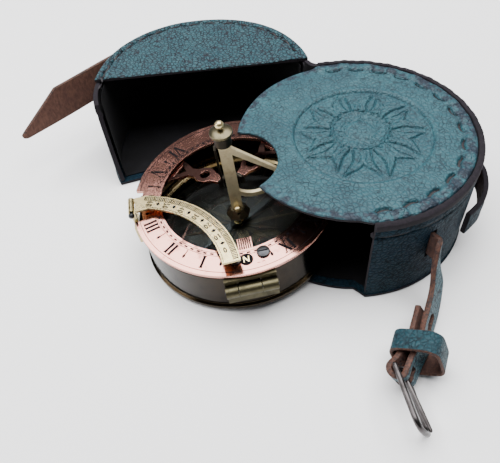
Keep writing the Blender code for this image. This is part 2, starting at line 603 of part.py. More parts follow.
def main():
    for old in list(bpy.data.objects):
        bpy.data.objects.remove(old)
    teal = finish("teal_leather", (0.075, 0.19, 0.22), 0.55, 0.0)
    flesh = finish("brown_leather", (0.14, 0.07, 0.045), 0.75, 0.0)
    black = finish("black_lining", (0.012, 0.012, 0.015), 0.85, 0.0)
    iron = finish("dark_buckle_metal", (0.09, 0.075, 0.06), 0.35, 1.0)
    bronze = finish("antique_bronze", (0.14, 0.105, 0.06), 0.38, 1.0)
    brass = finish("brass", (0.55, 0.42, 0.20), 0.32, 1.0)
    copper = finish("copper", (0.62, 0.33, 0.25), 0.3, 1.0)
    dark = finish("blackened_brass", (0.06, 0.05, 0.04), 0.4, 1.0)
    steel = finish("dark_steel", (0.12, 0.12, 0.13), 0.35, 1.0)
    card = finish("compass_card", (0.08, 0.06, 0.05), 0.5, 0.0)
    glass = finish("glass", (0.7, 0.75, 0.75), 0.05, 0.0)

    make_case(teal, black, flesh)
    make_flap(teal, black, flesh)
    make_strap_loop(teal)
    make_buckle_strap(teal, iron)

    tilt = Matrix.Rotation(radians(-DIAL_TILT), 4, "Y") @ Matrix.Rotation(radians(DIAL_TURN), 4, "Z")
    sundial = frame("sundial_frame", DIAL_AT, tilt)
    lift = frame("dial_lift_frame", BARREL, Matrix.Rotation(radians(DIAL_LIFT), 4, "X"), sundial)
    dial = frame("dial_frame", RING_AT, parent=lift)
    make_box(sundial, bronze, brass, card, glass, steel)
    make_hinge(sundial, lift, brass, steel)
    make_ring(dial, copper, dark, steel)
    make_latitude_arc(sundial, brass, steel)
    make_gnomon(dial, brass, bronze, dark)


main()
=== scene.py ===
"""Looks for a pocket sundial half out of its round leather case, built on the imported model.

Shapes are drawn in millimetres, in the frames that the parts are made in, and stored in metres.
"""

from math import cos, pi, radians, sin, sqrt

import bmesh
import bpy
import numpy as np
from mathutils import Matrix, Vector


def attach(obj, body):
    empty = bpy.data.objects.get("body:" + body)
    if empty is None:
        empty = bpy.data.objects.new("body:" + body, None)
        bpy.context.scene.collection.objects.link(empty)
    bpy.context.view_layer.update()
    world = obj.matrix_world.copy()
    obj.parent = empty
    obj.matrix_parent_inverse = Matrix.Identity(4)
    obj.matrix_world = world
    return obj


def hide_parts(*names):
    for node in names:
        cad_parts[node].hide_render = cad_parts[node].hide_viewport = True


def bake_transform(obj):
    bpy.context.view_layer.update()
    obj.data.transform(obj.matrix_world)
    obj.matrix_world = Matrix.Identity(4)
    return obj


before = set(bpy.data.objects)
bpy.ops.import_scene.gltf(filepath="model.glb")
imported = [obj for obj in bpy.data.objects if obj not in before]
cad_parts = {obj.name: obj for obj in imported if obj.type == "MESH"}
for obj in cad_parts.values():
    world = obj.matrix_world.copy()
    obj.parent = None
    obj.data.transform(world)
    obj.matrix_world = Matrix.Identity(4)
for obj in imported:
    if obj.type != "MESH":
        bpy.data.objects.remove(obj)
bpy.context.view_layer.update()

MM = 0.001

# The leather case and its flap
CASE_R = 46.0
WALL_R = 43.5
FREE_R = 42.3
UNDER_TOP_Z = 37.6
TOP_PLANE, FLAP_TOP_PLANE = 39.25, 39.2  # what the tops' relief stands on
WALL_LOW, WALL_HIGH = 1.9, 37.2
WALL_ENDS = (-92.0, 97.0)
NOTCH = (-43.9, -8.6, 15.6)
MEDALLION = (3.7, -0.9)
MEDALLION_R, FLAMES = 26.4, 20
SUN = (3.2, 1.4)  # centre of the pressed sun, a little behind the middle of its field
SLIT_AT = -64.0
FLAP_CENTRE = (-54.3, 44.85)
FLAP = Matrix.Translation((*FLAP_CENTRE, 0))
FLAP_ENDS = (4.0, 192.9)
FLAP_SKEW = 12.1
HINGE_LINE = (-7.5, 46.0)
STITCH_R, STITCH_START, STITCH_PITCH = 39.0, 4.0, 13.6
FLAP_STITCH_R = 42.6
SEAM_START, SEAM_PITCH, WALL_SEAM_Z = -92, 17, 33.4

# Frames of the sundial's parts
SUNDIAL = (
    Matrix.Translation((-44.33, -9.19, 2.6))
    @ Matrix.Rotation(radians(-3.75), 4, "Y")
    @ Matrix.Rotation(radians(5), 4, "Z")
)
LIFT = SUNDIAL @ Matrix.Translation((0, -39.6, 14.8)) @ Matrix.Rotation(radians(2.64), 4, "X")
DIAL = LIFT @ Matrix.Translation((0.6, 39.8, 5.9))
ARC = SUNDIAL @ Matrix.Translation((-37.6, 0, 25.0))
WORLD = Matrix()

# Straps
STRAP_LEAN = Vector((-5.2, -0.6, 10.8))
STRAP_W, STRAP_T = 10.5, 1.9
BUCKLE_BAR = Vector((2.2, -79.6, 7.7))
KEEPER_AT = Vector((9.2, -73.7, 8.6))


class Value:
    """A socket of a material. Sums and products of values add their Math nodes."""

    def __init__(self, socket):
        self.socket = socket

    def math(self, operation, first, second=0.0, clamp=False):
        node = self.socket.id_data.nodes.new("ShaderNodeMath")
        node.operation = operation
        node.use_clamp = clamp
        plug(node.inputs[0], first)
        plug(node.inputs[1], second)
        return Value(node.outputs[0])

    def __add__(self, other):
        return self.math("ADD", self, other)

    def __sub__(self, other):
        return self.math("SUBTRACT", self, other)

    def __rsub__(self, other):
        return self.math("SUBTRACT", other, self)

    def __mul__(self, other):
        return self.math("MULTIPLY", self, other)

    def held(self):
        """The value kept between 0 and 1."""
        return self.math("ADD", self, 0.0, clamp=True)

    __radd__ = __add__
    __rmul__ = __mul__


def plug(socket, value):
    if isinstance(value, Value):
        socket.id_data.links.new(value.socket, socket)
    elif isinstance(value, tuple) and len(value) == 3 and socket.type == "RGBA":
        socket.default_value = (*value, 1.0)
    else:
        socket.default_value = value


class Finish:
    """A material, made from nodes that its surface's own place drives."""

    def __init__(self, name, **fixed):
        self.material = bpy.data.materials.new(name)
        self.material.use_nodes = True
        self.nodes = self.material.node_tree.nodes
        self.shader = self.nodes["Principled BSDF"]
        for socket, value in fixed.items():
            self.shader.inputs[socket.replace("_", " ")].default_value = value

    def node(self, kind, settings=None, output=0, **values):
        """Any node: its settings, then its sockets' values or links, by name or as i and a number."""
        made = self.nodes.new("ShaderNode" + kind)
        for key, value in (settings or {}).items():
            setattr(made, key, value)
        for key, value in values.items():
            name = key.replace("_", " ")
            numbered = name[0] == "i" and name[1:].isdigit()
            plug(made.inputs[int(name[1:]) if numbered else name], value)
        return Value(made.outputs[output])

    def place(self):
        return self.node("TexCoord", output="Object")

    def noise(self, size, detail=3.0, place=None, roughness=0.55):
        """Soft noise, with patches about as wide as size in millimetres."""
        where = place or self.place()
        scale = 1.0 / (size * MM)
        return self.node("TexNoise", Vector=where, Scale=scale, Detail=detail, Roughness=roughness)

    def cells(self, size, place):
        """How near the edge of its cell a place is, in cells about as wide as size in millimetres."""
        settings = {"feature": "DISTANCE_TO_EDGE"}
        return self.node("TexVoronoi", settings, Vector=place, Scale=1.0 / (size * MM))

    def stretched(self, x, y, z):
        """The surface's place, drawn out along an axis by numbers below 1."""
        return self.node("Mapping", {"vector_type": "POINT"}, Vector=self.place(), Scale=(x, y, z))

    def shaken(self, size, by):
        """The surface's place, pushed about by noise of that size, in millimetres."""
        scale = 1.0 / (size * MM)
        push = self.node("TexNoise", output="Color", Vector=self.place(), Scale=scale, Detail=2.0)
        middle = self.node("VectorMath", {"operation": "SUBTRACT"}, i0=push, i1=(0.5, 0.5, 0.5))
        scaled = self.node("VectorMath", {"operation": "SCALE"}, i0=middle, Scale=by * MM)
        return self.node("VectorMath", {"operation": "ADD"}, i0=self.place(), i1=scaled)

    def step(self, value, low, high):
        """0 below low, 1 above high, and smooth between."""
        return self.node(
            "MapRange",
            {"interpolation_type": "SMOOTHSTEP"},
            Value=value,
            **{"From Min": low, "From Max": high, "To Min": 0.0, "To Max": 1.0},
        )

    def mix(self, share, first, second):
        return self.node("Mix", {"data_type": "RGBA"}, output=2, i0=share, i6=first, i7=second)

    def edges(self, radius):
        """Where the surface turns sharply within that radius, in millimetres."""
        rounded = self.node("Bevel", {"samples": 4}, Radius=radius * MM)
        straight = self.node("NewGeometry", output="Normal")
        settings = {"operation": "DOT_PRODUCT"}
        same = self.node("VectorMath", settings, output="Value", i0=rounded, i1=straight)
        return self.step(1 - same, 0.01, 0.12)

    def set(self, **values):
        for key, value in values.items():
            plug(self.shader.inputs[key.replace("_", " ")], value)

    def bump(self, height, depth):
        """Bumps that stand as high as depth in millimetres where height is 1."""
        self.set(Normal=self.node("Bump", Height=height, Distance=depth * MM, Strength=1.0))


def grained_leather(name, light, dark, worn, crack, gloss, shine=0.5, cracks=1.0, stained_from=None):
    """Full-grain leather: cracked pebbles, rubbed patches, paler worn edges.

    Its cracks are darker and deeper with a larger number. It can be stained outside a radius, in
    millimetres about the case's middle.
    """
    finish = Finish(name, IOR=1.42, Specular_IOR_Level=shine)
    small = finish.cells(1.6, finish.shaken(1.7, 1.0))
    fine = finish.cells(0.75, finish.shaken(0.9, 0.5))
    wide = finish.cells(4.2, finish.shaken(3.4, 2.4))
    patches = finish.noise(13.0, 4.0)
    mottle = finish.noise(3.2, 5.0)
    pores = finish.noise(0.42, 3.0)
    rough = finish.step(mottle, 0.42, 0.6)
    lines = (1 - finish.step(small, 0.02, 0.17)) * (0.42 + 0.5 * rough)
    threads = (1 - finish.step(fine, 0.0, 0.12)) * 0.3
    folds = (1 - finish.step(wide, 0.0, 0.03)) * finish.step(patches, 0.5, 0.62)
    base = finish.mix(finish.step(patches, 0.3, 0.72), light, worn)
    base = finish.mix(finish.step(mottle, 0.42, 0.7) * 0.3, base, dark)
    base = finish.mix(finish.step(pores, 0.35, 0.75) * 0.35, base, worn)
    seams = ((lines * 0.8 + threads * 0.5 + folds * 0.5) * cracks).held()
    if stained_from:
        flat = finish.node("VectorMath", {"operation": "MULTIPLY"}, i0=finish.place(), i1=(1.0, 1.0, 0.0))
        reach = finish.node("VectorMath", {"operation": "LENGTH"}, output="Value", i0=flat)
        outside = finish.step(reach, stained_from * MM, (stained_from + 1.2) * MM)
        base = finish.mix(outside * finish.step(mottle, 0.4, 0.56) * 0.75, base, (0.013, 0.013, 0.026))
    base = finish.mix(seams, base, crack)
    base = finish.mix(finish.edges(0.7) * rough * 0.5, base, worn)
    finish.set(Base_Color=base, Roughness=(gloss + 0.16 * mottle + 0.2 * seams).held())
    height = small.math("MINIMUM", small, 0.26) * 2.6 + fine.math("MINIMUM", fine, 0.2) * 1.0
    finish.bump(height - folds * 0.5 + pores * 0.3 + mottle * 0.5, 0.26 * cracks)
    return finish


def fibrous_leather(name, light, dark, size, rough):
    """A flesh side or a cut edge: matted fibres, drawn out a little."""
    finish = Finish(name, IOR=1.4)
    fibres = finish.noise(size, 6.0, finish.stretched(1.0, 1.0, 0.45), 0.7)
    blotch = finish.noise(size * 9, 3.0)
    base = finish.mix(finish.step(fibres, 0.32, 0.68), dark, light)
    base = finish.mix(finish.step(blotch, 0.45, 0.75) * 0.5, base, dark)
    finish.set(Base_Color=base, Roughness=(rough + 0.15 * fibres).held())
    finish.bump(fibres, 0.12)
    return finish


def suede(name, colour, sheen):
    finish = Finish(name, IOR=1.35)
    nap = finish.noise(0.5, 5.0, None, 0.75)
    brushed = finish.noise(8.0, 2.0)
    tone = finish.mix(finish.step(brushed, 0.35, 0.7), colour, sheen)
    tone = finish.mix(nap * 0.6, tone, colour)
    finish.set(Base_Color=tone, Roughness=0.93 + 0.05 * nap)
    finish.bump(nap, 0.1)
    return finish


def old_metal(name, bright, dull, stain, gloss, tarnish=0.5, worn=None, metallic=1.0):
    """Handled metal: bright on its edges, dull and stained in its flats, with fine scratches."""
    finish = Finish(name, Metallic=metallic)
    clouds = finish.noise(5.5, 5.0, None, 0.62)
    specks = finish.noise(0.9, 4.0, None, 0.7)
    brushed = finish.noise(0.35, 2.0, finish.stretched(1.0, 0.12, 1.0))
    edge = finish.edges(0.35)
    dulled = finish.step(clouds, 0.62 - 0.28 * tarnish, 0.86 - 0.2 * tarnish)
    spots = finish.step(specks, 0.6, 0.75) * tarnish
    colour = finish.mix(dulled * 0.8, bright, dull)
    colour = finish.mix(spots * 0.7, colour, stain)
    colour = finish.mix(edge * 0.75, colour, worn or bright)
    finish.set(
        Base_Color=colour,
        Roughness=(gloss + 0.14 * dulled + 0.12 * spots + 0.06 * brushed - 0.06 * edge).held(),
    )
    finish.bump(brushed * 0.5 + specks * 0.5, 0.03)
    return finish


def engraving_paint():
    """Dark wax in the engraved lines."""
    finish = Finish("engraving_wax", IOR=1.4, Specular_IOR_Level=0.1)
    worn = finish.noise(0.8, 4.0)
    tone = finish.mix(finish.step(worn, 0.5, 0.8) * 0.6, (0.004, 0.003, 0.004), (0.02, 0.011, 0.009))
    finish.set(Base_Color=tone, Roughness=0.6 + 0.3 * worn)
    finish.bump(worn, 0.03)
    return finish


def clear_glass():
    finish = Finish("compass_glass_clear", IOR=1.5, Transmission_Weight=1.0)
    smears = finish.noise(7.0, 4.0)
    finish.set(Base_Color=(0.82, 0.88, 0.86), Roughness=0.012 + 0.02 * smears)
    finish.bump(smears, 0.01)
    return finish


def floor_finish():
    finish = Finish("pale_floor", IOR=1.4)
    grain = finish.noise(2.0, 3.0)
    finish.set(Base_Color=finish.mix(grain * 0.3, (0.93, 0.93, 0.94), (0.90, 0.90, 0.91)), Roughness=0.85)
    return finish


TEAL_TONES = {
    "light": (0.014, 0.058, 0.076),
    "dark": (0.006, 0.024, 0.034),
    "worn": (0.028, 0.096, 0.116),
    "crack": (0.003, 0.004, 0.010),
}
TEAL = grained_leather("teal_grained_leather", **TEAL_TONES, gloss=0.4, shine=0.4, cracks=1.15)
TEAL_TOP = grained_leather(
    "teal_case_top_leather", **TEAL_TONES, gloss=0.4, shine=0.4, cracks=0.8, stained_from=38.9,
)
TEAL_FLAP = grained_leather("teal_flap_leather", **TEAL_TONES, gloss=0.38, shine=0.5, cracks=1.9)
# The same teal leather made several times darker: painted shade for the walls, bases, hinge strip and strap
# loop, which face away from the overhead light.
TEAL_SIDE_PAINTED_SHADE = grained_leather(
    "teal_leather_side_painted_shade",
    light=(0.0025, 0.013, 0.025),
    dark=(0.0015, 0.006, 0.011),
    worn=(0.006, 0.023, 0.034),
    crack=(0.0008, 0.0015, 0.003),
    gloss=0.5,
    shine=0.1,
)
# The same teal leather made darker: painted shade on the strap keeper.
KEEPER_TEAL_PAINTED_SHADE = grained_leather(
    "keeper_teal_leather_painted_shade",
    light=(0.006, 0.032, 0.044),
    dark=(0.003, 0.014, 0.021),
    worn=(0.012, 0.050, 0.064),
    crack=(0.002, 0.003, 0.006),
    gloss=0.45,
    shine=0.3,
)
RAW_EDGE = fibrous_leather("raw_leather_edge", (0.011, 0.007, 0.012), (0.002, 0.0015, 0.003), 0.9, 0.85)
BROWN_EDGE = fibrous_leather("brown_leather_edge", (0.10, 0.040, 0.025), (0.012, 0.006, 0.005), 0.9, 0.6)
FLESH = fibrous_leather("leather_flesh_side", (0.085, 0.038, 0.027), (0.034, 0.015, 0.012), 1.1, 0.72)
STRAP_BROWN = fibrous_leather("closing_strap_suede", (0.125, 0.056, 0.038), (0.062, 0.026, 0.019), 1.1, 0.75)
LINING = suede("black_suede_lining", (0.0016, 0.0015, 0.0022), (0.004, 0.004, 0.006))
THREAD = fibrous_leather("waxed_stitching", (0.012, 0.008, 0.012), (0.003, 0.002, 0.003), 0.5, 0.5)
COPPER = old_metal(
    "copper_plate", (0.56, 0.28, 0.225), (0.17, 0.065, 0.052), (0.045, 0.018, 0.015),
    gloss=0.1, tarnish=0.42,
)
BRASS = old_metal(
    "pale_brass", (0.68, 0.56, 0.30), (0.42, 0.32, 0.14), (0.12, 0.08, 0.035),
    gloss=0.24, tarnish=0.5,
)
AGED_BRASS = old_metal(
    "aged_hinge_brass", (0.085, 0.075, 0.043), (0.032, 0.028, 0.017), (0.02, 0.016, 0.01),
    gloss=0.38, tarnish=0.7,
)
BRONZE = old_metal(
    "dark_bronze", (0.020, 0.013, 0.007), (0.008, 0.005, 0.003), (0.004, 0.003, 0.002),
    gloss=0.1, tarnish=0.6, worn=(0.42, 0.33, 0.18),
)
FINIAL = old_metal(
    "olive_bronze", (0.11, 0.095, 0.058), (0.035, 0.03, 0.018), (0.012, 0.010, 0.007),
    gloss=0.3, tarnish=0.7, worn=(0.36, 0.31, 0.18),
)
BLADE = old_metal(
    "gnomon_brass", (0.74, 0.64, 0.40), (0.48, 0.37, 0.20), (0.14, 0.09, 0.05),
    gloss=0.4, tarnish=0.55, metallic=0.55,
)
BLACKENED = old_metal(
    "blackened_metal", (0.03, 0.026, 0.02), (0.012, 0.010, 0.008), (0.006, 0.005, 0.004),
    gloss=0.36, tarnish=0.7,
)
STEEL = old_metal(
    "dark_screw_steel", (0.055, 0.056, 0.06), (0.025, 0.026, 0.028), (0.05, 0.035, 0.028),
    gloss=0.3, tarnish=0.6,
)
BUCKLE_METAL = old_metal(
    "dark_buckle_metal", (0.075, 0.068, 0.068), (0.030, 0.026, 0.026), (0.045, 0.032, 0.012),
    gloss=0.27, tarnish=0.75,
)
WAX = engraving_paint()
CARD = fibrous_leather("compass_card_lacquer", (0.016, 0.013, 0.012), (0.006, 0.005, 0.005), 0.6, 0.35)
CARD_PAINT = fibrous_leather("compass_card_figures", (0.07, 0.055, 0.04), (0.035, 0.027, 0.018), 0.6, 0.5)
GLASS = clear_glass()


def net(rows, columns, around=False):
    """Faces of a net of points listed row by row. Around joins each row's end to its start."""
    faces = []
    last = columns if around else columns - 1
    for row in range(rows - 1):
        for column in range(last):
            near, far = row * columns + column, row * columns + (column + 1) % columns
            faces.append((near, far, far + columns, near + columns))
    return faces


def closed_net(rows, columns, turned=False):
    """Faces of a net closed round its rows, with a cap on each end. Turned faces the caps over."""
    first = tuple(range(columns))
    last = tuple(columns * (rows - 1) + k for k in first)
    caps = [first, last[::-1]] if turned else [first[::-1], last]
    return net(rows, columns, around=True) + caps


def piece(name, points, faces, finishes, body, at=WORLD, slot=None, stands_for=(), index=None, sharp=40):
    """A named mesh from points in millimetres in one of the frames, riding on a body."""
    placed = np.array(at)
    points = np.asarray(points, float) @ placed[:3, :3].T + placed[:3, 3]
    mesh = bpy.data.meshes.new(name)
    mesh.from_pydata((points * MM).tolist(), [], [tuple(face) for face in faces])
    for finish in finishes:
        mesh.materials.append(finish.material)
    if index is not None:
        mesh.polygons.foreach_set("material_index", np.asarray(index, np.int32))
    mesh.validate()
    mesh.shade_smooth()
    mesh.set_sharp_from_angle(angle=radians(sharp))
    made = bpy.data.objects.new(name, mesh)
    bpy.context.scene.collection.objects.link(made)
    if body:
        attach(made, body)
    if stands_for:
        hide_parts(*stands_for)
    return made


def settled(made):
    """The piece with its modifiers made part of its mesh."""
    graph = bpy.context.evaluated_depsgraph_get()
    mesh = bpy.data.meshes.new_from_object(made.evaluated_get(graph))
    made.modifiers.clear()
    made.data = mesh
    return made


def carved(made, cutters):
    """The piece with closed cutters, as points and faces in millimetres, taken away from it."""
    for number, (points, faces) in enumerate(cutters):
        helper = outward(piece(f"{made.name}_cutter_{number}", points, faces, [BROWN_EDGE], None))
        modifier = made.modifiers.new("Cut", "BOOLEAN")
        modifier.operation = "DIFFERENCE"
        modifier.solver = "MANIFOLD"
        modifier.object = helper
        modifier.material_mode = "TRANSFER"
        settled(made)
        bpy.data.objects.remove(helper)
    return made


def step(value, low, high):
    share = np.clip((value - low) / (high - low), 0, 1)
    return share * share * (3 - 2 * share)


def ridge(distance, width):
    return np.exp(-((distance / width) ** 2))


def polar(radius, degrees):
    return radius * cos(radians(degrees)), radius * sin(radians(degrees))


def rim_points(centre, radius, start, end, count):
    offsets = [polar(radius, degrees) for degrees in np.linspace(start, end, count)]
    return [(centre[0] + x, centre[1] + y) for x, y in offsets]


def way_to(start, end, count):
    """Places on the straight line from start, which is left out, to end."""
    start, end = np.array(start), np.array(end)
    return [tuple(start + (end - start) * i / count) for i in range(1, count + 1)]


def rumple(x, y, size, seed=0.0):
    """Slow waves, the same each time."""
    a = np.sin(x / size + 1.3 * np.sin(y / (size * 1.7) + seed) + seed)
    b = np.sin(y / (size * 0.8) + 1.1 * np.sin(x / (size * 1.3) - seed))
    return 0.5 * a * b


# Leather of the case and flap


def case_reach(degrees):
    """How far the case's top reaches from the medallion's centre, in a direction."""
    way = np.array(polar(1.0, degrees))
    centre = np.array(MEDALLION)

    def leaves(radius, middle):
        offset = centre - middle
        along = offset @ way
        inside = along * along - (offset @ offset - radius * radius)
        return inside, along

    def at_rim(radius):
        inside, along = leaves(radius, np.zeros(2))
        return -along + sqrt(inside)

    reach = at_rim(WALL_R + 0.1)
    point = centre + way * reach
    azimuth = np.degrees(np.arctan2(point[1], point[0]))
    low, high = WALL_ENDS
    if not low - 1 < azimuth < high + 1:
        beyond = min(abs((azimuth - high) % 360), abs((low - azimuth) % 360))
        share = min(1.0, beyond / 6.0)
        reach = at_rim(WALL_R + 0.1 + share * (FREE_R - WALL_R - 0.1))
    inside, along = leaves(NOTCH[2], np.array(NOTCH[:2]))
    if inside > 0 and -along > 0:
        reach = min(reach, -along - sqrt(inside))
    return reach


def stitch_share(azimuth):
    """Where a point lies in its stitch, from 0 to 1."""
    return (azimuth - STITCH_START) % STITCH_PITCH / STITCH_PITCH


def stitch_depth(azimuth):
    share = stitch_share(azimuth)
    return step(share, 0.0, 0.1) * (1 - step(share, 0.56, 0.7))


def stitch_radius(azimuth):
    return STITCH_R + 0.55 * np.cos(2 * pi * (stitch_share(azimuth) + 0.12))


def medallion_relief(x, y):
    """A sunk round field with a sun of wavy flames about a ringed centre."""
    field = np.hypot(x - MEDALLION[0], y - MEDALLION[1])
    sx, sy = x - SUN[0], y - SUN[1]
    q = np.hypot(sx, sy)
    turn = np.degrees(np.arctan2(sy, sx))
    z = -0.6 * (1 - step(field, 24.7, 25.5))
    z += 0.2 * ridge(field - MEDALLION_R, 0.7) - 0.25 * ridge(field - 24.6, 0.4)
    apart = 360 / FLAMES
    number = np.round(turn / apart)
    aside = turn - number * apart
    long = number % 2 == 0
    shift = np.radians(number * apart)
    shift_x, shift_y = SUN[0] - MEDALLION[0], SUN[1] - MEDALLION[1]
    off = shift_x * np.cos(shift) + shift_y * np.sin(shift)
    border = -off + np.sqrt(off**2 - shift_x**2 - shift_y**2 + 24.0**2)
    tip = np.where(long, border - 0.3, border - 2.0)
    out = np.clip((q - 11.0) / (tip - 11.0), 0, 1)
    sway = np.where(long, 6.0, -5.0) * np.sin(1.5 * pi * out)
    across = np.radians(aside - sway) * q
    half = (1.35 + 1.5 * np.sin(pi * np.clip(out * 1.1, 0, 1)) * (1 + 0.5 * out)) * (1 - out) ** 0.5
    within = (q > 11.0) & (q < tip)
    outline = ridge(np.abs(across) - half, 0.3) * within
    body = step(half - np.abs(across), 0.0, 0.9) * within
    vein = ridge(across - 0.4 * np.sin(out * 7), 0.24) * within * (out > 0.08) * (out < 0.7)
    z += -0.62 * outline + 0.42 * body - 0.34 * vein
    for radius, depth in ((10.6, 0.45), (9.4, 0.36), (5.6, 0.42), (4.9, 0.2)):
        z -= depth * ridge(q - radius, 0.28)
    z += 0.2 * ridge(q - 10.0, 0.35) + 0.2 * (1 - step(q, 3.8, 5.4))
    knots = np.sin(np.radians(turn) * 11 + 2.2 * np.sin(np.radians(turn) * 4)) * np.cos((q - 7.5) * 1.7)
    z += 0.36 * (step(knots, 0.1, 0.5) - 0.5) * step(q, 5.9, 6.4) * (1 - step(q, 8.6, 9.1))
    return z


def case_top_relief(x, y):
    """Height of the top's grain side above its middle plane."""
    r = np.hypot(x, y)
    azimuth = np.degrees(np.arctan2(y, x))
    sewn = step(azimuth, -96, -90) * (1 - step(azimuth, 97, 103))
    groove = ridge(r - stitch_radius(azimuth), 0.6)
    depth = stitch_depth(azimuth)
    z = -sewn * groove * (0.3 + 1.35 * depth)
    puff = np.sin(pi * np.clip((r - 39.2) / 4.5, 0, 1)) ** 0.8
    z += sewn * puff * (0.2 + 0.6 * (1 - depth))
    pinch = ridge(r - stitch_radius(azimuth), 1.6) * (1 - depth)
    z += sewn * 0.22 * pinch
    z += 0.30 * ridge(r - 33.0, 5.5) - 0.45 * step(-x, 26.0, 42.0)
    z += 0.22 * rumple(x, y, 7.0, 0.6) + 0.06 * rumple(x, y, 2.3, 2.0)
    return z + medallion_relief(x, y)


def make_case_top():
    steps, inner, outer = 560, 64, 52
    azimuths = [360 * i / steps - 180 for i in range(steps)]
    ways = np.array([polar(1.0, a) for a in azimuths])
    reach = np.array([case_reach(a) for a in azimuths])
    points = [[*MEDALLION, 0.0]]
    rows = [np.full(steps, MEDALLION_R * i / inner) for i in range(1, inner + 1)]
    rows += [MEDALLION_R + (reach - MEDALLION_R) * i / outer for i in range(1, outer + 1)]
    edge = 0.7
    for row in rows:
        xy = np.array(MEDALLION) + ways * row[:, None]
        z = TOP_PLANE + case_top_relief(xy[:, 0], xy[:, 1])
        left = np.clip(1 - (reach - row) / edge, 0, 1)
        z -= edge * 0.8 * (1 - np.sqrt(1 - left**2))
        points += np.column_stack([xy, z]).tolist()
    points[0][2] = TOP_PLANE + float(case_top_relief(*np.array(MEDALLION)[:, None])[0])
    count = len(rows)
    for height in (38.3, UNDER_TOP_Z + 0.35, UNDER_TOP_Z):
        inset = 0.25 if height == UNDER_TOP_Z else 0.0
        xy = np.array(MEDALLION) + ways * (reach - inset)[:, None]
        points += np.column_stack([xy, np.full(steps, height)]).tolist()
    faces = [(0, 1 + i, 1 + (i + 1) % steps) for i in range(steps)]
    faces += [tuple(1 + corner for corner in face) for face in net(count + 3, steps, around=True)]
    last = 1 + (count + 2) * steps
    faces.append(tuple(last + steps - 1 - i for i in range(steps)))
    index = [0] * (steps + (count - 1) * steps) + [1] * (3 * steps) + [2]
    piece(
        "case_top_leather", points, faces, [TEAL_TOP, RAW_EDGE, LINING], "case",
        slot="teal_leather", stands_for=["case_top"], index=index,
    )


def wall_net(centre, radius_of, azimuths, heights, skew=0.0):
    """Points of an upright wall, by rows from low to high."""
    low, high = heights[0], heights[-1]
    points = []
    for z in heights:
        lean = skew * (high - z) / (high - low)
        for azimuth in azimuths:
            share = (azimuth - azimuths[0]) / (azimuths[-1] - azimuths[0])
            turned = azimuth + lean * share
            radius = radius_of(azimuth, z)
            x, y = polar(radius, turned)
            points.append((centre[0] + x, centre[1] + y, z))
    return points


def thickened(made, thickness, rim_finish=1, inner_finish=2):
    """Gives a sheet its thickness, inwards, with its cut edges and its inside in their own finishes."""
    modifier = made.modifiers.new("Leather", "SOLIDIFY")
    modifier.thickness = thickness * MM
    modifier.offset = -1
    modifier.material_offset = inner_finish
    modifier.material_offset_rim = rim_finish
    modifier.use_quality_normals = True
    rounding = made.modifiers.new("Edge", "BEVEL")
    rounding.width = 0.3 * MM
    rounding.segments = 2
    rounding.limit_method = "ANGLE"
    rounding.angle_limit = radians(50)
    rounding.harden_normals = True
    return settled(made)


def case_wall_radius(azimuth, z):
    share = (azimuth - SEAM_START) % SEAM_PITCH / SEAM_PITCH
    seam = ridge(z - WALL_SEAM_Z, 0.5) * (0.3 + 0.7 * step(share, 0.0, 0.06))
    fold = 0.28 * np.sin(pi * np.clip((z - WALL_SEAM_Z) / 4.0, 0, 1))
    sag = 0.35 * rumple(azimuth * 0.8, z, 8.0, 1.0) + 0.1 * rumple(azimuth * 0.8, z, 3.1, 4.0)
    return CASE_R - 0.45 + fold + sag * 0.6 - 0.75 * seam


def make_case_wall():
    half_slit = 1.9
    azimuths = list(np.linspace(WALL_ENDS[0], SLIT_AT - half_slit, 34))
    azimuths += [SLIT_AT - half_slit / 3, SLIT_AT + half_slit / 3]
    azimuths += list(np.linspace(SLIT_AT + half_slit, WALL_ENDS[1], 190))
    heights = list(np.linspace(WALL_LOW, 15.4, 12)) + list(np.linspace(16.6, 28.6, 11))
    heights += list(np.linspace(29.5, WALL_HIGH, 22))
    points = wall_net((0, 0), case_wall_radius, azimuths, heights)
    columns = len(azimuths)
    faces = []
    for face in net(len(heights), columns):
        azimuth = azimuths[face[0] % columns]
        z = heights[face[0] // columns]
        beside = abs(azimuth - SLIT_AT + 0.01) < half_slit + 0.02
        in_slit = beside and azimuth < SLIT_AT + half_slit - 0.1 and 15.0 < z < 28.2
        if not in_slit:
            faces.append(face)
    wall = piece(
        "case_wall_leather", points, faces, [TEAL_SIDE_PAINTED_SHADE, RAW_EDGE, LINING], "case",
        slot="teal_leather", stands_for=["case_wall"],
    )
    thickened(wall, 2.0)


def tube(path, radius, sides=8, squash=1.0, up=(0, 0, 1)):
    """A closed round strip along a path, flattened along up, with its ends drawn in."""
    path = [Vector(p) for p in path]
    points = []
    up = Vector(up)
    count = len(path)
    for i, middle in enumerate(path):
        ahead = (path[min(i + 1, count - 1)] - path[max(i - 1, 0)]).normalized()
        side = ahead.cross(up).normalized()
        lift = side.cross(ahead).normalized()
        share = i / (count - 1)
        size = radius * min(1.0, 0.35 + 3.2 * min(share, 1 - share))
        for k in range(sides):
            turn = 2 * pi * k / sides
            points.append(middle + side * size * cos(turn) + lift * size * squash * sin(turn))
    return points, closed_net(count, sides)


def joined(parts):
    """Several sets of points and faces as one."""
    points, faces = [], []
    for some_points, some_faces in parts:
        start = len(points)
        points += [tuple(p) for p in some_points]
        faces += [tuple(start + corner for corner in face) for face in some_faces]
    return points, faces


def lying_on(relief, plane, x, y, above):
    """A place a little above a top's grain side."""
    return x, y, plane + float(relief(np.array([x]), np.array([y]))[0]) + above


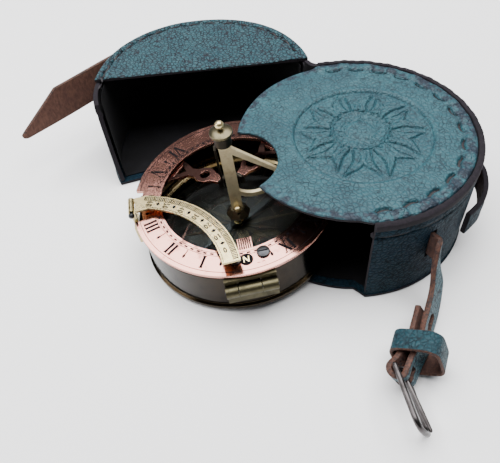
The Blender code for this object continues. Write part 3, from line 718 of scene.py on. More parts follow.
def make_case_stitches():
    """Waxed thread lying in the grooves of the top and in the seam round the wall."""
    threads = []
    first = int(np.ceil((-96 - STITCH_START) / STITCH_PITCH))
    for number in range(first, first + 15):
        start = STITCH_START + number * STITCH_PITCH
        path = []
        for i in range(13):
            azimuth = start + STITCH_PITCH * (0.03 + 0.6 * i / 12)
            if -95 < azimuth < 102:
                x, y = polar(stitch_radius(azimuth), azimuth)
                path.append(lying_on(case_top_relief, TOP_PLANE, x, y, 0.34))
        if len(path) > 5:
            threads.append(tube(path, 0.6, squash=0.8))
    for number in range(11):
        start = SEAM_START + SEAM_PITCH * number
        path = []
        for i in range(15):
            azimuth = start + 1.6 + 14.2 * i / 14
            if azimuth < WALL_ENDS[1] - 1:
                x, y = polar(CASE_R - 0.95, azimuth)
                path.append((x, y, WALL_SEAM_Z))
        if len(path) > 5:
            threads.append(tube(path, 0.36))
    piece("case_stitching", *joined(threads), [THREAD], "case", slot="brown_leather")


def make_case_rim():
    """The wall's cut edge, standing round the top."""
    section = [
        (43.72, 36.95), (43.72, 38.9), (43.95, 39.45), (44.5, 39.72), (45.3, 39.66),
        (45.85, 39.3), (46.0, 38.7), (45.98, 37.6), (45.85, 36.95),
    ]
    azimuths = np.linspace(*WALL_ENDS, 230)
    points = []
    for azimuth in azimuths:
        for k, (r, z) in enumerate(section):
            wave = 0.12 * np.sin(azimuth * 0.55) + 0.1 * np.sin(azimuth * 1.37 + 1)
            lift = wave if 1 <= k <= 6 else 0.0
            nick = 0.06 * np.sin(azimuth * 3.3 + k)
            x, y = polar(r - (0.1 * wave + nick if k in (5, 6, 7) else 0.0), azimuth)
            points.append((x, y, z + lift))
    faces = closed_net(len(azimuths), len(section), turned=True)
    outward(piece("case_rim_edge", points, faces, [RAW_EDGE], "case", slot="teal_leather"))


def outward(made):
    """Turns a closed piece's faces outwards."""
    bm = bmesh.new()
    bm.from_mesh(made.data)
    bmesh.ops.recalc_face_normals(bm, faces=bm.faces)
    bm.to_mesh(made.data)
    bm.free()
    return made


def disc_plate(body, place, lined, outline, low, high, centre=(0, 0)):
    """A flat piece of leather, or of suede if lined, with soft edges, from an outline and a middle."""
    name, slot, part = f"{body}_{place}_leather", "teal_leather", f"{body}_{place}"
    finishes, edge = [TEAL_SIDE_PAINTED_SHADE, RAW_EDGE], 0.45
    if lined:
        name, slot, part = f"{body}_{place}_suede", "black_lining", f"{body}_{place}_lining"
        finishes, edge = [LINING, LINING], 0.1
    outline = np.array(outline) - np.array(centre)
    soft = edge * 0.45
    lower = [(edge, low), (0.12, low + soft), (0.0, low + edge)]
    upper = [(0.0, high - edge), (0.12, high - soft), (edge, high)]
    rows = []
    for inset, z in lower + upper:
        scale = 1 - inset / np.hypot(outline[:, 0], outline[:, 1])
        xy = outline * scale[:, None] + np.array(centre)
        rows.append(np.column_stack([xy, np.full(len(outline), z)]))
    inner = []
    for share in (0.75, 0.5, 0.25):
        xy = outline * share
        wave = 0.15 * rumple(xy[:, 0], xy[:, 1], 9.0, 1.0)
        inner.append(np.column_stack([xy + np.array(centre), high + wave]))
    points = np.vstack(rows + inner + [np.array([[*centre, high]])])
    size = len(outline)
    faces = net(len(rows) + 3, size, around=True)
    tip = len(points) - 1
    last = (len(rows) + 2) * size
    faces += [(last + i, last + (i + 1) % size, tip) for i in range(size)]
    faces.append(tuple(range(size - 1, -1, -1)))
    index = [1] * (4 * size) + [0] * (len(faces) - 4 * size)
    outward(piece(name, points, faces, finishes, body, slot=slot, stands_for=[part], index=index))


def case_outline(held_r, free_r, margin, held_count, free_count):
    """The case's round outline, a little smaller where no wall holds it."""
    low, high = WALL_ENDS
    held = rim_points((0, 0), held_r, low + margin, high - margin, held_count)
    return held + rim_points((0, 0), free_r, high + 5, 360 + low - 5, free_count)


def flap_outline(radius, start, end, count, corner, straight):
    """The flap's outline, by way of a corner at the hinge, and a middle for it."""
    rim = rim_points(FLAP_CENTRE, radius, start, end, count)
    middle = ((rim[-1][0] + rim[0][0]) / 2 - 4, (rim[-1][1] + rim[0][1]) / 2 + 8)
    return rim + way_to(rim[-1], corner, straight), middle


def make_bases():
    outline = case_outline(CASE_R - 0.1, FREE_R, 0, 120, 100)
    disc_plate("case", "base", False, outline, 0, 1.6)
    corner = (HINGE_LINE[0] - 2.6, HINGE_LINE[1] - 1.0)
    outline, middle = flap_outline(CASE_R - 0.1, FLAP_ENDS[0], 205.0, 150, corner, 60)
    disc_plate("flap", "base", False, outline, 0, 1.6, middle)


def flap_top_relief(x, y):
    r = np.hypot(x, y)
    azimuth = np.degrees(np.arctan2(y, x))
    share = (azimuth * 0.09) % 1.0
    line = FLAP_STITCH_R + 0.22 * np.sin(azimuth * 0.31) + 0.3 * np.cos(2 * pi * share)
    sewn = step(azimuth, 14, 17) * (1 - step(azimuth, 180.0, 184.0))
    z = -sewn * ridge(r - line, 0.6) * (1.1 + 0.45 * np.cos(2 * pi * share))
    z += sewn * 0.32 * np.sin(pi * np.clip((r - 42.9) / 3.1, 0, 1))
    z += 0.35 * ridge(r - 38.0, 4.0)
    z += 0.5 * rumple(x, y, 10.0, 2.4) + 0.1 * rumple(x, y, 2.6, 1.0)
    creases = ((122, 34, 0.3), (114, 38, 0.26), (106, 30, 0.24), (128, 36, 0.2), (98, 22, 0.2))
    for angle, reach, depth in creases:
        along = x * cos(radians(angle)) + y * sin(radians(angle))
        across = -x * sin(radians(angle)) + y * cos(radians(angle)) + 1.6 * np.sin(along / 5 + angle)
        z -= depth * ridge(across, 0.55) * step(along, 12, 17) * (1 - step(along, reach - 4, reach))
    return z


def make_flap_top():
    """Half a disc, wide along its straight front edge."""
    radius, columns, rows = CASE_R - 0.15, 300, 110
    low = radius * sin(radians(7.1))
    wide = radius * cos(radians(7.1)) - 0.02
    xs = wide * np.sin(np.linspace(-pi / 2, pi / 2, columns) * 0.995)
    points = []
    for row in range(rows):
        share = row / (rows - 1)
        top = np.sqrt(radius**2 - xs**2)
        y = low + (top - low) * share
        z = FLAP_TOP_PLANE + flap_top_relief(xs, y)
        left = np.minimum(y - low, radius - np.hypot(xs, y))
        soft = np.clip(1 - left / 0.7, 0, 1)
        z -= 0.5 * (1 - np.sqrt(1 - soft**2))
        z -= 0.35 * (1 - step(y - low, 0, 9)) * np.sin(pi * np.clip((xs + wide) / (2 * wide), 0, 1))
        points += np.column_stack([xs, y, z]).tolist()
    faces = net(rows, columns)
    border = list(range(columns))
    border += [row * columns + columns - 1 for row in range(1, rows)]
    border += [(rows - 1) * columns + i for i in range(columns - 2, -1, -1)]
    border += [row * columns for row in range(rows - 2, 0, -1)]
    start = len(points)
    size = len(border)
    for height in (38.4, UNDER_TOP_Z):
        points += [(points[i][0], points[i][1], height) for i in border]
    faces += [(border[(i + 1) % size], border[i], start + i, start + (i + 1) % size) for i in range(size)]
    second = start + size
    faces += [(start + (i + 1) % size, start + i, second + i, second + (i + 1) % size) for i in range(size)]
    faces.append(tuple(second + i for i in range(size)))
    index = [0] * ((rows - 1) * (columns - 1)) + [1] * (2 * size) + [2]
    finishes = [TEAL_FLAP, RAW_EDGE, LINING]
    top = piece(
        "flap_top_leather", points, faces, finishes, "flap", FLAP, "teal_leather", ["flap_top"], index,
    )
    outward(top)
    threads = []
    for start, end in ((15.0, 21.5), (158.5, 166.0), (167.0, 174.5), (175.5, 183.0)):
        path = []
        for azimuth in np.linspace(start, end, 12):
            x, y = polar(FLAP_STITCH_R + 0.25 * np.sin(azimuth), azimuth)
            path.append(lying_on(flap_top_relief, FLAP_TOP_PLANE, x, y, 0.22))
        threads.append(tube(path, 0.5, squash=0.75))
    for start in np.arange(23.0, 156.0, 11.1):
        path = []
        for azimuth in np.linspace(start, start + 9.4, 12):
            x, y = polar(FLAP_STITCH_R + 0.22 * np.sin(azimuth * 0.31), azimuth)
            path.append(lying_on(flap_top_relief, FLAP_TOP_PLANE, x, y, 0.28))
        threads.append(tube(path, 0.52, squash=0.7))
    piece("flap_stitching", *joined(threads), [THREAD], "flap", FLAP, "brown_leather")


def flap_wall_radius(azimuth, z):
    fold = 0.2 * np.sin(pi * np.clip((z - 32.5) / 4.5, 0, 1)) - 0.5 * ridge(z - 32.5, 0.5)
    return CASE_R - 0.4 + fold + 0.25 * rumple(azimuth * 0.8, z, 9.0, 3.0)


def make_flap_wall():
    azimuths = list(np.linspace(*FLAP_ENDS, 200))
    heights = list(np.linspace(WALL_LOW, WALL_HIGH + 0.1, 44))
    points = wall_net(FLAP_CENTRE, flap_wall_radius, azimuths, heights, FLAP_SKEW)
    wall = piece(
        "flap_wall_leather", points, net(len(heights), len(azimuths)), [TEAL_SIDE_PAINTED_SHADE, RAW_EDGE, LINING], "flap",
        slot="teal_leather", stands_for=["flap_wall"],
    )
    thickened(wall, 2.0)


def make_linings():
    """Black suede glued to the inside of the walls."""
    sets = (
        ("case", (0, 0), (-91.0, 96.0), 0.0, 0.5),
        ("flap", FLAP_CENTRE, (6.0, 191.9), FLAP_SKEW, 0.9),
    )
    for body, centre, ends, skew, gap in sets:
        azimuths = list(np.linspace(*ends, 120))
        heights = list(np.linspace(3.0, 36.2, 14))

        def radius(azimuth, z, gap=gap):
            return WALL_R - gap + 0.05 * rumple(azimuth, z, 6.0)

        points = wall_net(centre, radius, azimuths, heights, skew)
        faces = []
        for face in net(len(heights), len(azimuths)):
            row, column = divmod(face[0], len(azimuths))
            by_slit = abs(azimuths[column] - SLIT_AT) <= 2.6 and 13 < heights[row] < 27
            if body == "flap" or not by_slit:
                faces.append(face)
        wall = piece(
            f"{body}_wall_suede", points, faces, [LINING], body,
            slot="black_lining", stands_for=[f"{body}_wall_lining"],
        )
        thickened(wall, 0.3, 0, 0)


def make_flat_linings():
    outline = case_outline(CASE_R - 3.2, FREE_R - 3.2, 1, 90, 80)
    disc_plate("case", "base", True, outline, 1.75, 2.15)
    corner = (HINGE_LINE[0] - 8.5, HINGE_LINE[1] + 1.2)
    outline, middle = flap_outline(CASE_R - 3.4, FLAP_ENDS[0] + 4, 202.0, 120, corner, 50)
    disc_plate("flap", "base", True, outline, 1.75, 2.15, middle)
    steps = 240
    azimuths = [360 * i / steps - 180 for i in range(steps)]
    outline = []
    for azimuth in azimuths:
        way = np.array(polar(1.0, azimuth))
        reach = case_reach(azimuth) - 2.6
        offset = np.array(MEDALLION) - np.array(NOTCH[:2])
        along = offset @ way
        inside = along * along - (offset @ offset - 20.0**2)
        if inside > 0 and -along > 0:
            reach = min(reach, -along - sqrt(inside))
        outline.append(tuple(np.array(MEDALLION) + way * reach))
    disc_plate("case", "top", True, outline, 36.95, 37.45, MEDALLION)
    rim = rim_points(FLAP_CENTRE, CASE_R - 3.7, 9.5, 170.5, 110)
    outline = rim + way_to(rim[-1], rim[0], 70)[:-1]
    disc_plate("flap", "top", True, outline, 36.95, 37.45, (FLAP_CENTRE[0], FLAP_CENTRE[1] + 22))


def make_leather_hinge():
    """The strip of wall that bends where the case's wall runs on into the flap's."""
    start = Vector((*polar(CASE_R - 1.3, WALL_ENDS[1] - 0.6), 0))
    end = Vector((*polar(CASE_R - 1.3, FLAP_ENDS[0] + 1.2), 0)) + Vector((*FLAP_CENTRE, 0))
    before = Vector((*polar(1.0, WALL_ENDS[1] + 90), 0))
    after = Vector((*polar(1.0, FLAP_ENDS[0] + 90), 0))
    path = []
    for i in range(19):
        t = i / 18
        a, b, c, d = (1 - t) ** 3, 3 * t * (1 - t) ** 2, 3 * t * t * (1 - t), t**3
        path.append(start * a + (start + before * 1.6) * b + (end - after * 1.6) * c + end * d)
    heights = np.linspace(WALL_LOW, WALL_HIGH + 1.6, 30)
    points = []
    for z in heights:
        for i, middle in enumerate(path):
            ahead = (path[min(i + 1, 18)] - path[max(i - 1, 0)]).normalized()
            out = Vector((ahead.y, -ahead.x, 0))
            swell = 0.12 * sin(z * 0.8 + i * 0.5)
            points.append(middle + out * (1.15 + swell) + Vector((0, 0, z)))
    strip = piece(
        "hinge_leather", points, net(len(heights), len(path)), [TEAL_SIDE_PAINTED_SHADE, RAW_EDGE, LINING], None,
        slot="teal_leather", stands_for=["leather_hinge"],
    )
    thickened(strip, 2.1)
    outward(strip)
    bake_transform(strip)


# Straps


def smooth_path(path, steps):
    """A curve through a list of points, each a vector, with more points between them."""
    out = []
    count = len(path)
    for i in range(count - 1):
        p0, p1, p2, p3 = path[max(i - 1, 0)], path[i], path[i + 1], path[min(i + 2, count - 1)]
        for k in range(steps):
            t = k / steps
            out.append(
                p1
                + (p2 - p0) * (0.5 * t)
                + (p0 * 2 - p1 * 5 + p2 * 4 - p3) * (0.5 * t * t)
                + (p1 * 3 - p0 - p2 * 3 + p3) * (0.5 * t**3)
            )
    out.append(path[-1])
    return out


def edge_down(half, t, corner, sway):
    """Across a strap's rounded edge, from its front to its back."""
    u = half + sway
    return [(half - 0.14, t - 0.14), (u, t - corner), (u, corner - t), (half - 0.14, 0.14 - t)]


def strap_mesh(path, across, thickness):
    """A flat strap with rounded edges. Faces are numbered 0 on its front, 1 on its edges, 2 behind."""
    t, corner, count = thickness / 2, 0.5, len(path)
    points = []
    for i, middle in enumerate(path):
        ahead = (path[min(i + 1, count - 1)] - path[max(i - 1, 0)]).normalized()
        half = across[i].length / 2
        way = across[i].normalized()
        out = ahead.cross(way).normalized()
        wave = 0.07 * sin(i * 0.9) + 0.05 * sin(i * 0.37 + 1)
        flat = [-(half - corner) + (2 * (half - corner)) * k / 8 for k in range(9)]
        section = [(u, t + 0.05 * sin(u * 1.1 + i * 0.5)) for u in flat]
        section += edge_down(half, t, corner, wave)
        section += [(u, -t) for u in reversed(flat)]
        section += [(-u, v) for u, v in reversed(edge_down(half, t, corner, -wave))]
        points += [middle + way * u + out * v for u, v in section]
    sides = [0] * 8 + [1] * 5 + [2] * 8 + [1] * 5
    return points, closed_net(count, len(section), turned=True), sides * (count - 1) + [1, 1]


def make_strap_loop():
    middles = []
    stations = (-40, 0.3), (-36, 1.3), (-30, 2.6), (-22, 3.0), (-14, 2.6), (-8, 1.3), (-4, 0.3)
    for azimuth, off in stations:
        x, y = polar(CASE_R + off + STRAP_T / 2, azimuth)
        share = (azimuth + 40) / 36
        middles.append(Vector((x, y, 12.5 + STRAP_W / 2 + 2.0 * share)))
    path = smooth_path(middles, 6)
    points, faces, index = strap_mesh(path, [Vector((0, 0, STRAP_W))] * len(path), STRAP_T)
    loop = piece(
        "strap_loop_leather", points, faces, [TEAL_SIDE_PAINTED_SHADE, RAW_EDGE, FLESH], "case",
        slot="teal_leather", stands_for=["strap_loop"], index=index,
    )
    outward(loop)


def make_buckle_strap():
    out = Vector((*polar(1, SLIT_AT), 0))
    upright = Vector((0, 0, 12))
    rise = Vector((0, 0, 22))
    route = [
        (out * 43.2 + rise, upright),
        (out * 46.2 + rise, upright),
        (out * 48.6 + rise, upright),
        (Vector((20.9, -46.2, 20.6)), upright.lerp(STRAP_LEAN, 0.4)),
        (Vector((21.2, -49.0, 14.8)), STRAP_LEAN),
        (Vector((20.8, -52.2, 9.0)), STRAP_LEAN),
        (Vector((18.8, -57.0, 6.3)), STRAP_LEAN),
    ]
    points = [(15.3, -63.5, 5.6), (11.6, -70.9, 7.7), (7.4, -76.4, 8.1)]
    for turn in range(-20, -231, -30):
        x, y = polar(2.6, turn)
        points.append((BUCKLE_BAR.x + x, BUCKLE_BAR.y + y, BUCKLE_BAR.z))
    points += [(3.8, -74.9, 7.2), (8.5, -69.5, 6.8), (12.0, -63.3, 6.2), (15.0, -57.4, 6.0)]
    route += [(Vector(point), STRAP_LEAN) for point in points]
    path = smooth_path([middle for middle, _ in route], 5)
    across = [way.normalized() * STRAP_W for way in smooth_path([way for _, way in route], 5)]
    points, faces, index = strap_mesh(path, across, STRAP_T)
    strap = piece(
        "buckle_strap_leather", points, faces, [FLESH, BROWN_EDGE, TEAL], None,
        slot="teal_leather", stands_for=["strap_anchor", "buckle_strap"], index=index,
    )
    outward(strap)
    bar, run = BUCKLE_BAR, Vector((0.10, -0.99, -0.02)).normalized()
    up = (STRAP_LEAN - run * STRAP_LEAN.dot(run)).normalized()
    slot = tube([bar + up * share for share in (-1.7, -1.69, 0, 1.69, 1.7)], 4.3, 24, up=run)
    way, along = STRAP_LEAN.normalized(), Vector((3.5, 7.0, 0)).normalized()
    through = along.cross(way)
    ring = []
    for side in (1, -1):
        for turn in range(-90, 91, 15):
            x, y = polar(2.0, turn)
            ring.append((side * (3.2 + x), side * y))
    middle = Vector((15.3, -63.5, 6.2))
    hole = [middle + along * x + way * y + through * d for d in (-1.6, 1.6) for x, y in ring]
    carved(strap, [slot, (hole, closed_net(2, len(ring)))])
    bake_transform(strap)


def make_keeper():
    way, run = STRAP_LEAN.normalized(), Vector((-0.45, -0.89, 0)).normalized()
    over = (way - run * way.dot(run)).normalized()
    through = over.cross(run)
    count = 72
    edge = [(3.6, 1), (3.9, 0.75), (4.0, 0.5), (3.9, 0.25), (3.6, 0)]
    section = [(-x, share) for x, share in edge] + [(0, 0)] + edge[::-1] + [(1.2, 1), (-1.2, 1)]
    points, index = [], []
    for i in range(count):
        turn = 2 * pi * i / count
        c, s = cos(turn), sin(turn)
        x = np.copysign(abs(c) ** 0.5, c)
        y = np.copysign(abs(s) ** 0.5, s)
        for along, share in section:
            thick = 1.15 * share
            aside = over * ((6.25 + thick) * x) + through * ((6.95 + thick) * y)
            points.append(KEEPER_AT + aside + run * (along + 0.08 * sin(turn * 7 + along)))
    size = len(section)
    faces = []
    for i in range(count):
        for k in range(size):
            a, b = i * size, (i + 1) % count * size
            n = (k + 1) % size
            faces.append((a + k, a + n, b + n, b + k))
            index.append(1 if k in (0, 1, 2, 3, 6, 7, 8, 9) else 2 if k in (4, 5) else 0)
    loop = piece(
        "keeper_leather", points, faces, [KEEPER_TEAL_PAINTED_SHADE, BROWN_EDGE, FLESH], "keeper",
        slot="teal_leather", stands_for=["strap_keeper"], index=index,
    )
    outward(loop)


def make_closing_strap():
    centre = Vector((*FLAP_CENTRE, 0))
    mid = CASE_R + 0.3 + 0.9
    leave = 131.5
    rows = []
    for azimuth in np.linspace(101.5, leave - 1.5, 24):
        share = (azimuth - 101.5) / 28
        low, high = 21.0 + 0.3 * sin(share * 5), 36.5
        x, y = polar(mid, azimuth)
        rows.append((centre + Vector((x, y, 0)), low, high))
    x, y = polar(mid, leave)
    foot = centre + Vector((x, y, 0))
    way = Vector((*polar(1, leave + 90), 0))
    side = Vector((*polar(1, leave), 0))
    for along in list(np.linspace(1.2, 62.0, 60)) + [62.8, 63.5, 64.0, 64.4]:
        low, high = 21.05, 36.45
        if along > 43.5:
            high = 36.45 - (along - 43.5) / 21.3 * 13.1
        if along > 62:
            low += 1.1 * ((along - 62) / 2.4) ** 2
            high -= 0.25 * ((along - 62) / 2.4) ** 2
        sway = 0.22 * sin(along / 9.0)
        rows.append((foot + way * along + side * sway * min(1.0, along / 12), low, high))
    path = [Vector((p.x, p.y, (low + high) / 2)) for p, low, high in rows]
    across = [Vector((0, 0, high - low)) for _, low, high in rows]
    points, faces, index = strap_mesh(path, across, 1.7)
    strap = piece(
        "closing_strap_leather", points, faces, [STRAP_BROWN, BROWN_EDGE, STRAP_BROWN], None,
        slot="brown_leather", stands_for=["closing_strap_tail", "closing_strap"], index=index,
    )
    outward(strap)
    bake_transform(strap)


# Engraving


def line_solid(path, widths, low, high):
    """A thin closed strip along a flat path, standing from low to high."""
    points, count = [], len(path)
    path = [np.array(p, float) for p in path]
    for i in range(count):
        ahead = path[min(i + 1, count - 1)] - path[max(i - 1, 0)]
        ahead = ahead / (np.hypot(*ahead) or 1.0)
        half = np.array((-ahead[1], ahead[0])) * widths[i] / 2
        left, right = path[i] + half, path[i] - half
        points += [(*left, low), (*right, low), (*right, high), (*left, high)]
    return points, closed_net(count, 4)


def ring_line(radius, start, end, width, low, high, centre=(0, 0), step_size=2.0):
    count = max(3, int(abs(end - start) / step_size) + 1)
    path = rim_points(centre, radius, start, end, count)
    return line_solid(path, [width] * count, low, high)


def stem(x, top=1.0, low=0.0, width=0.19):
    return [((x, low), (x, top), width)]


def serif(x, y, half=0.15):
    return [((x - half, y), (x + half, y), 0.075)]


def roman(text):
    """Straight strokes of a numeral 1 high, as two ends and a width each, and the numeral's width."""
    strokes, x = [], 0.0
    for letter in text:
        if letter == "I":
            strokes += stem(x + 0.15) + serif(x + 0.15, 0.025) + serif(x + 0.15, 0.975)
            x += 0.38
        elif letter == "V":
            strokes += [((x + 0.08, 1.0), (x + 0.36, 0.0), 0.19), ((x + 0.36, 0.0), (x + 0.62, 1.0), 0.08)]
            strokes += serif(x + 0.08, 0.975, 0.12) + serif(x + 0.62, 0.975, 0.1)
            x += 0.8
        else:
            strokes += [((x + 0.08, 1.0), (x + 0.56, 0.0), 0.19), ((x + 0.08, 0.0), (x + 0.56, 1.0), 0.08)]
            for at in (x + 0.08, x + 0.56):
                strokes += serif(at, 0.975, 0.11) + serif(at, 0.025, 0.11)
            x += 0.72
    return strokes, x - 0.08


def on_ring(azimuth, radius, x, y):
    """A place on the ring, x along the way the numerals read and y towards the centre."""
    r = radius - y
    return polar(r, azimuth + np.degrees(x / r))


def numeral_solids(text, azimuth, radius, height, low, high, squeeze=1.0):
    strokes, width = roman(text)
    solids = []
    for (x0, y0), (x1, y1), thick in strokes:
        ends = []
        for x, y in ((x0, y0), (x1, y1)):
            ends.append(on_ring(azimuth, radius, (x - width / 2) * height * squeeze, (y - 0.5) * height))
        solids.append(line_solid(ends, [thick * height] * 2, low, high))
    return solids


HOURS = (
    ("XI", -59.75), ("X", -36.0), ("IX", -13.0), ("VIII", 10.0), ("VII", 34.0), ("VI", 57.0),
    ("I", -112.5), ("II", -135.6), ("III", -159.0), ("IV", 178.0), ("V", 154.0), ("VI", 131.0),
)
HALVES = (-70.5, -46.5, -23.5, -1.5, 22.0, 45.5, -101.5, -125.5, -148.5, -170.5, 166.0, 142.5)
FIGURE_TURN = -5.0
NORTH_AT, NORTH_R = -86 + FIGURE_TURN, 32.0


def make_ring_engraving():
    low, high = -0.25, 0.035
    solids = []
    for text, azimuth in HOURS:
        squeeze = 0.8 if len(text) > 3 else 0.92
        solids += numeral_solids(text, azimuth + FIGURE_TURN, 32.95, 4.9, low, high, squeeze)
    for azimuth in HALVES:
        az = azimuth + FIGURE_TURN
        path = [polar(r, az) for r in (30.3, 31.2, 32.0, 32.6, 33.1, 33.5, 33.9)]
        solids.append(line_solid(path, [0.36, 0.28, 0.32, 0.75, 1.0, 0.7, 0.06], low, high))
    start, end = -171.2, 164.6
    for radius, width in ((36.3, 0.2), (30.0, 0.16), (28.6, 0.14)):
        solids.append(ring_line(radius, start, end, width, low, high))
    for number in range(67):
        azimuth = start + 1.25 + 5.0 * number
        solids.append(ring_line(29.3, azimuth, azimuth + 2.5, 0.62, low, high, step_size=1.25))
    for x in (-1.95, -1.2, -0.45, 0.3, 1.05, 1.8):
        solids.append(line_solid([(x, -28.2), (x, -23.1)], [0.42, 0.42], -0.3, -0.03))
    rim = rim_points(polar(NORTH_R, NORTH_AT), 2.35, 0, 350, 36)
    badge = [(x, y, z) for z in (low, 0.12) for x, y in rim]
    solids.append((badge, closed_net(2, len(rim))))
    for at in (-79.5, -76.5):
        ends = [on_ring(at + FIGURE_TURN, 34.4, x, 0) for x in (-0.5, 0.5)]
        solids.append(line_solid(ends, [0.2, 0.2], low, high))
    piece("hour_figures", *joined(solids), [WAX], "dial", DIAL, slot="blackened_brass")
    left, right = -0.85, 0.85
    low, high = -1.15, 1.15
    strokes = (
        ((left, high), (left, low), 0.34),
        ((right, high), (right, low), 0.34),
        ((left, high), (right, low), 0.42),
    )
    letter = []
    for *ends, width in strokes:
        path = [on_ring(NORTH_AT, NORTH_R, x, y) for x, y in ends]
        letter.append(line_solid(path, [width, width], 0.1, 0.19))
    piece("north_letter", *joined(letter), [BRASS], "dial", DIAL, slot="brass")


def make_foot_knob():
    """A round brass knob on the gnomon's blade, over its collar."""
    rows, sides, radius = 10, 20, 1.55
    y, z = -2.0, -9.0
    points = [(0, y, z - radius)]
    for row in range(1, rows):
        tilt = pi * row / rows - pi / 2
        for side in range(sides):
            turn = 2 * pi * side / sides
            ring = radius * cos(tilt)
            points.append((ring * cos(turn), y + ring * sin(turn), z + radius * sin(tilt)))
    points.append((0, y, z + radius))
    faces = [(0, 1 + (i + 1) % sides, 1 + i) for i in range(sides)]
    faces += [tuple(1 + corner for corner in face) for face in net(rows - 1, sides, around=True)]
    top = len(points) - 1
    last = 1 + (rows - 2) * sides
    faces += [(top, last + i, last + (i + 1) % sides) for i in range(sides)]
    knob = piece("gnomon_foot_knob", points, faces, [BRASS], "gnomon", DIAL, slot="brass")
    outward(knob)


def make_milled_edge():
    """Fine ribs round the ring's rim."""
    azimuths = np.linspace(-171.0, 164.4, 1900)
    points = []
    for azimuth in azimuths:
        rib = abs(sin(radians(azimuth) * 150))
        near, far = 37.9 + 0.1 * rib, 37.97 + 0.17 * rib
        section = (37.55, -1.22), (near, -1.2), (far, -0.95), (far, -0.35), (near, -0.1), (37.55, -0.08)
        points += [(*polar(r, azimuth), z) for r, z in section]
    faces = closed_net(len(azimuths), 6, turned=True)
    rim = piece("ring_milled_edge", points, faces, [COPPER], "dial", DIAL, slot="copper", sharp=50)
    outward(rim)


DIGITS = {
    "0": [[(0.3 + 0.27 * sin(t / 16 * 2 * pi), 0.5 + 0.48 * cos(t / 16 * 2 * pi)) for t in range(17)]],
    "1": [[(0.12, 0.8), (0.32, 0.98), (0.32, 0.02)], [(0.14, 0.02), (0.5, 0.02)]],
    "2": [[
        (0.06, 0.76), (0.14, 0.93), (0.32, 0.98), (0.5, 0.88),
        (0.52, 0.68), (0.36, 0.42), (0.06, 0.04), (0.56, 0.04),
    ]],
    "3": [[
        (0.08, 0.88), (0.3, 0.98), (0.5, 0.84), (0.48, 0.64), (0.28, 0.54),
        (0.5, 0.42), (0.54, 0.2), (0.34, 0.02), (0.06, 0.12),
    ]],
    "4": [[(0.44, 0.02), (0.44, 0.98), (0.04, 0.3), (0.6, 0.3)]],
    "5": [[
        (0.52, 0.96), (0.14, 0.96), (0.1, 0.56), (0.34, 0.62),
        (0.54, 0.46), (0.54, 0.18), (0.32, 0.02), (0.06, 0.1),
    ]],
    "6": [[
        (0.5, 0.9), (0.3, 0.98), (0.12, 0.76), (0.06, 0.36), (0.18, 0.06),
        (0.4, 0.03), (0.54, 0.22), (0.5, 0.46), (0.3, 0.56), (0.1, 0.42),
    ]],
}
ARC_CENTRE = (-5.5, -36.3)


def make_arc_engraving():
    low, high = 0.25, 0.49
    solids = []
    for radius, width in ((39.1, 0.2), (40.8, 0.2), (35.75, 0.18)):
        solids.append(ring_line(radius, 2.6, 74.2, width, low, high, ARC_CENTRE, 1.5))

    def at(radius, azimuth, x=0.0, y=0.0):
        """x inwards along the radius, y towards the low end of the scale."""
        turn = azimuth - np.degrees(y / radius)
        px, py = polar(radius - x, turn)
        return ARC_CENTRE[0] + px, ARC_CENTRE[1] + py

    for number in range(71):
        azimuth = 3.4 + 1.01 * number
        width = 0.34 if number % 5 else 0.5
        solids.append(line_solid([at(39.25, azimuth), at(40.7, azimuth)], [width] * 2, low, high))
    for tens in range(7):
        azimuth = 10.0 + 10.1 * tens
        text = str(tens * 10)
        height = 2.1
        for place, digit in enumerate(text):
            radius = (38.55 if len(text) == 2 else 37.9) - 1.4 * place
            for line in DIGITS[digit]:
                path = [at(radius, azimuth, x * height * 0.68, (y - 0.5) * height) for x, y in line]
                solids.append(line_solid(path, [0.42] * len(path), low, high))
        if tens < 6:
            middle = azimuth + 5.05
            path = [at(r, middle) for r in (38.6, 37.7, 36.8)]
            solids.append(line_solid(path, [0.1, 1.4, 0.1], low, high))
    piece("latitude_figures", *joined(solids), [WAX], "latitude_arc", ARC, slot="blackened_brass")


def make_card():
    """Degree marks and a star on the compass card."""
    low, high = 2.2, 2.42
    solids = []
    for radius, width in ((32.2, 0.25), (29.3, 0.18), (27.6, 0.12), (14.6, 0.2)):
        solids.append(ring_line(radius, 0, 360, width, low, high, step_size=5))
    for number in range(72):
        azimuth = 5.0 * number
        inner = 27.8 if number % 2 == 0 else 29.5
        solids.append(line_solid([polar(inner, azimuth), polar(32.0, azimuth)], [0.3, 0.45], low, high))
    for number in range(16):
        azimuth = 22.5 * number
        reach = 26.5 if number % 4 == 0 else 20.0 if number % 2 == 0 else 16.0
        path = [polar(r, azimuth) for r in (3.0, 6.5, reach)]
        solids.append(line_solid(path, [0.4, 2.1 if number % 2 == 0 else 1.1, 0.05], low, high))
    piece("card_figures", *joined(solids), [CARD_PAINT], "compass", SUNDIAL, slot="compass_card")


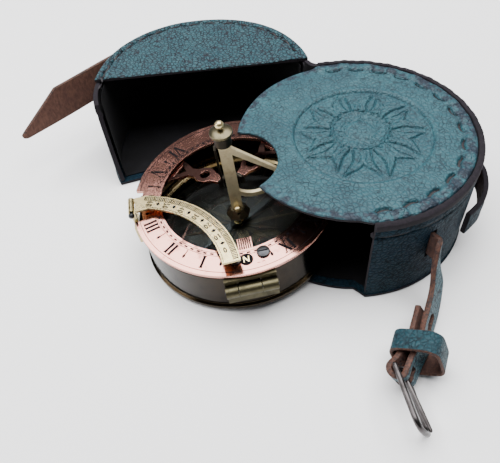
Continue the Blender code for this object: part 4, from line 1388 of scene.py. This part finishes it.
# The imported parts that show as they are


def smoothing():
    """A modifier group that shades smoothly across shallow edges only."""
    group = bpy.data.node_groups.new("Smooth shallow edges", "GeometryNodeTree")
    group.interface.new_socket("Geometry", in_out="INPUT", socket_type="NodeSocketGeometry")
    group.interface.new_socket("Geometry", in_out="OUTPUT", socket_type="NodeSocketGeometry")
    new, link = group.nodes.new, group.links.new
    start, end = new("NodeGroupInput"), new("NodeGroupOutput")
    bare = new("GeometryNodeRemoveAttribute")
    bare.inputs["Name"].default_value = "custom_normal"
    weld = new("GeometryNodeMergeByDistance")
    weld.inputs["Distance"].default_value = 0.000002
    smooth = new("GeometryNodeSetShadeSmooth")
    sharp = new("GeometryNodeSetShadeSmooth")
    sharp.domain = "EDGE"
    sharp.inputs["Shade Smooth"].default_value = False
    angle = new("GeometryNodeInputMeshEdgeAngle")
    more = new("FunctionNodeCompare")
    more.inputs[1].default_value = radians(32)
    link(start.outputs[0], bare.inputs["Geometry"])
    link(bare.outputs[0], weld.inputs["Geometry"])
    link(weld.outputs[0], smooth.inputs["Geometry"])
    link(smooth.outputs[0], sharp.inputs["Geometry"])
    link(angle.outputs["Unsigned Angle"], more.inputs[0])
    link(more.outputs[0], sharp.inputs["Selection"])
    link(sharp.outputs[0], end.inputs[0])
    return group


def dress_parts():
    group = smoothing()
    kept = (
        (BRONZE, 0.35, ["compass_box"]),
        (FINIAL, 0.12, ["gnomon_collar", "gnomon_disc"]),
        (BUCKLE_METAL, 0.0, ["buckle_frame", "buckle_bar", "buckle_prong"]),
        (BRASS, 0.12, ["compass_pivot", "glass_ring", "arc_bracket", "latitude_arc", "needle_cap"]),
        (BRASS, 0.0, ["gnomon_ball"]),
        (BLADE, 0.12, ["gnomon_blade"]),
        (AGED_BRASS, 0.15, ["hinge_box_leaf", "hinge_dial_leaf"]),
        (COPPER, 0.12, ["hour_ring", "ring_arm_1", "ring_arm_2"]),
        (BLACKENED, 0.12, ["hub_socket", "gnomon_hub", "gnomon_foot_pin", "gnomon_neck", "gnomon_spring"]),
        (STEEL, 0.08, ["hinge_pin", "latitude_arc_pin", "compass_needle", "hinge_screw_1", "hinge_screw_2"]),
        (CARD, 0.0, ["compass_card"]),
        (GLASS, 0.0, ["compass_glass"]),
    )
    for finish, rounding, names in kept:
        for name in names:
            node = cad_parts[name]
            for material_slot in node.material_slots:
                material_slot.material = finish.material
            shading = node.modifiers.new("Shading", "NODES")
            shading.node_group = group
            if name.startswith("buckle_") or name == "gnomon_ball":
                node.modifiers.new("Round", "SUBSURF").levels = 2
                node.modifiers["Round"].render_levels = 2
            if rounding:
                soft = node.modifiers.new("Soft edges", "BEVEL")
                soft.width = rounding * MM
                soft.segments = 2
                soft.limit_method = "ANGLE"
                soft.angle_limit = radians(32)
                soft.harden_normals = True


# Light, floor and camera


def area_light(name, at, aim, size, power):
    data = bpy.data.lights.new(name, "AREA")
    data.shape = "RECTANGLE"
    data.size, data.size_y = size
    data.energy = power
    light = bpy.data.objects.new(name, data)
    bpy.context.scene.collection.objects.link(light)
    light.location = Vector(at) * MM
    way = (Vector(aim) - Vector(at)).normalized()
    light.rotation_euler = way.to_track_quat("-Z", "Y").to_euler()


def make_studio():
    world = bpy.data.worlds.new("Studio")
    bpy.context.scene.world = world
    world.use_nodes = True
    background = world.node_tree.nodes["Background"]
    background.inputs["Color"].default_value = (0.95, 0.97, 1.0, 1.0)
    background.inputs["Strength"].default_value = 0.12
    area_light("Overhead", (-40, 200, 900), (-40, 200, 0), (1.3, 0.96), 34.0)
    area_light("Left fill", (-600, -60, 300), (-30, 0, 20), (0.30, 0.30), 2.0)
    size = 3000.0
    corners = [(-size, -size, -0.1), (size, -size, -0.1), (size, size, -0.1), (-size, size, -0.1)]
    floor = piece("floor", corners, [(0, 1, 2, 3)], [floor_finish()], None)


def make_camera():
    data = bpy.data.cameras.new("Camera")
    data.lens = 39.30
    data.sensor_width = 36.0
    camera = bpy.data.objects.new("Camera", data)
    bpy.context.scene.collection.objects.link(camera)
    right = Vector((0.99483, -0.07771, -0.06534)).normalized()
    up = Vector((0.10153, 0.76147, 0.64017))
    up = (up - right * up.dot(right)).normalized()
    back = right.cross(up)
    turn = Matrix((right, up, back)).transposed().to_4x4()
    camera.matrix_world = Matrix.Translation(Vector((-40.70, -152.36, 170.41)) * MM) @ turn
    bpy.context.scene.camera = camera


make_case_top()
make_case_wall()
make_case_stitches()
make_case_rim()
make_bases()
make_flap_top()
make_flap_wall()
make_linings()
make_flat_linings()
make_leather_hinge()
make_strap_loop()
make_buckle_strap()
make_keeper()
make_closing_strap()
make_ring_engraving()
make_milled_edge()
make_foot_knob()
make_arc_engraving()
make_card()
dress_parts()
make_studio()
make_camera()
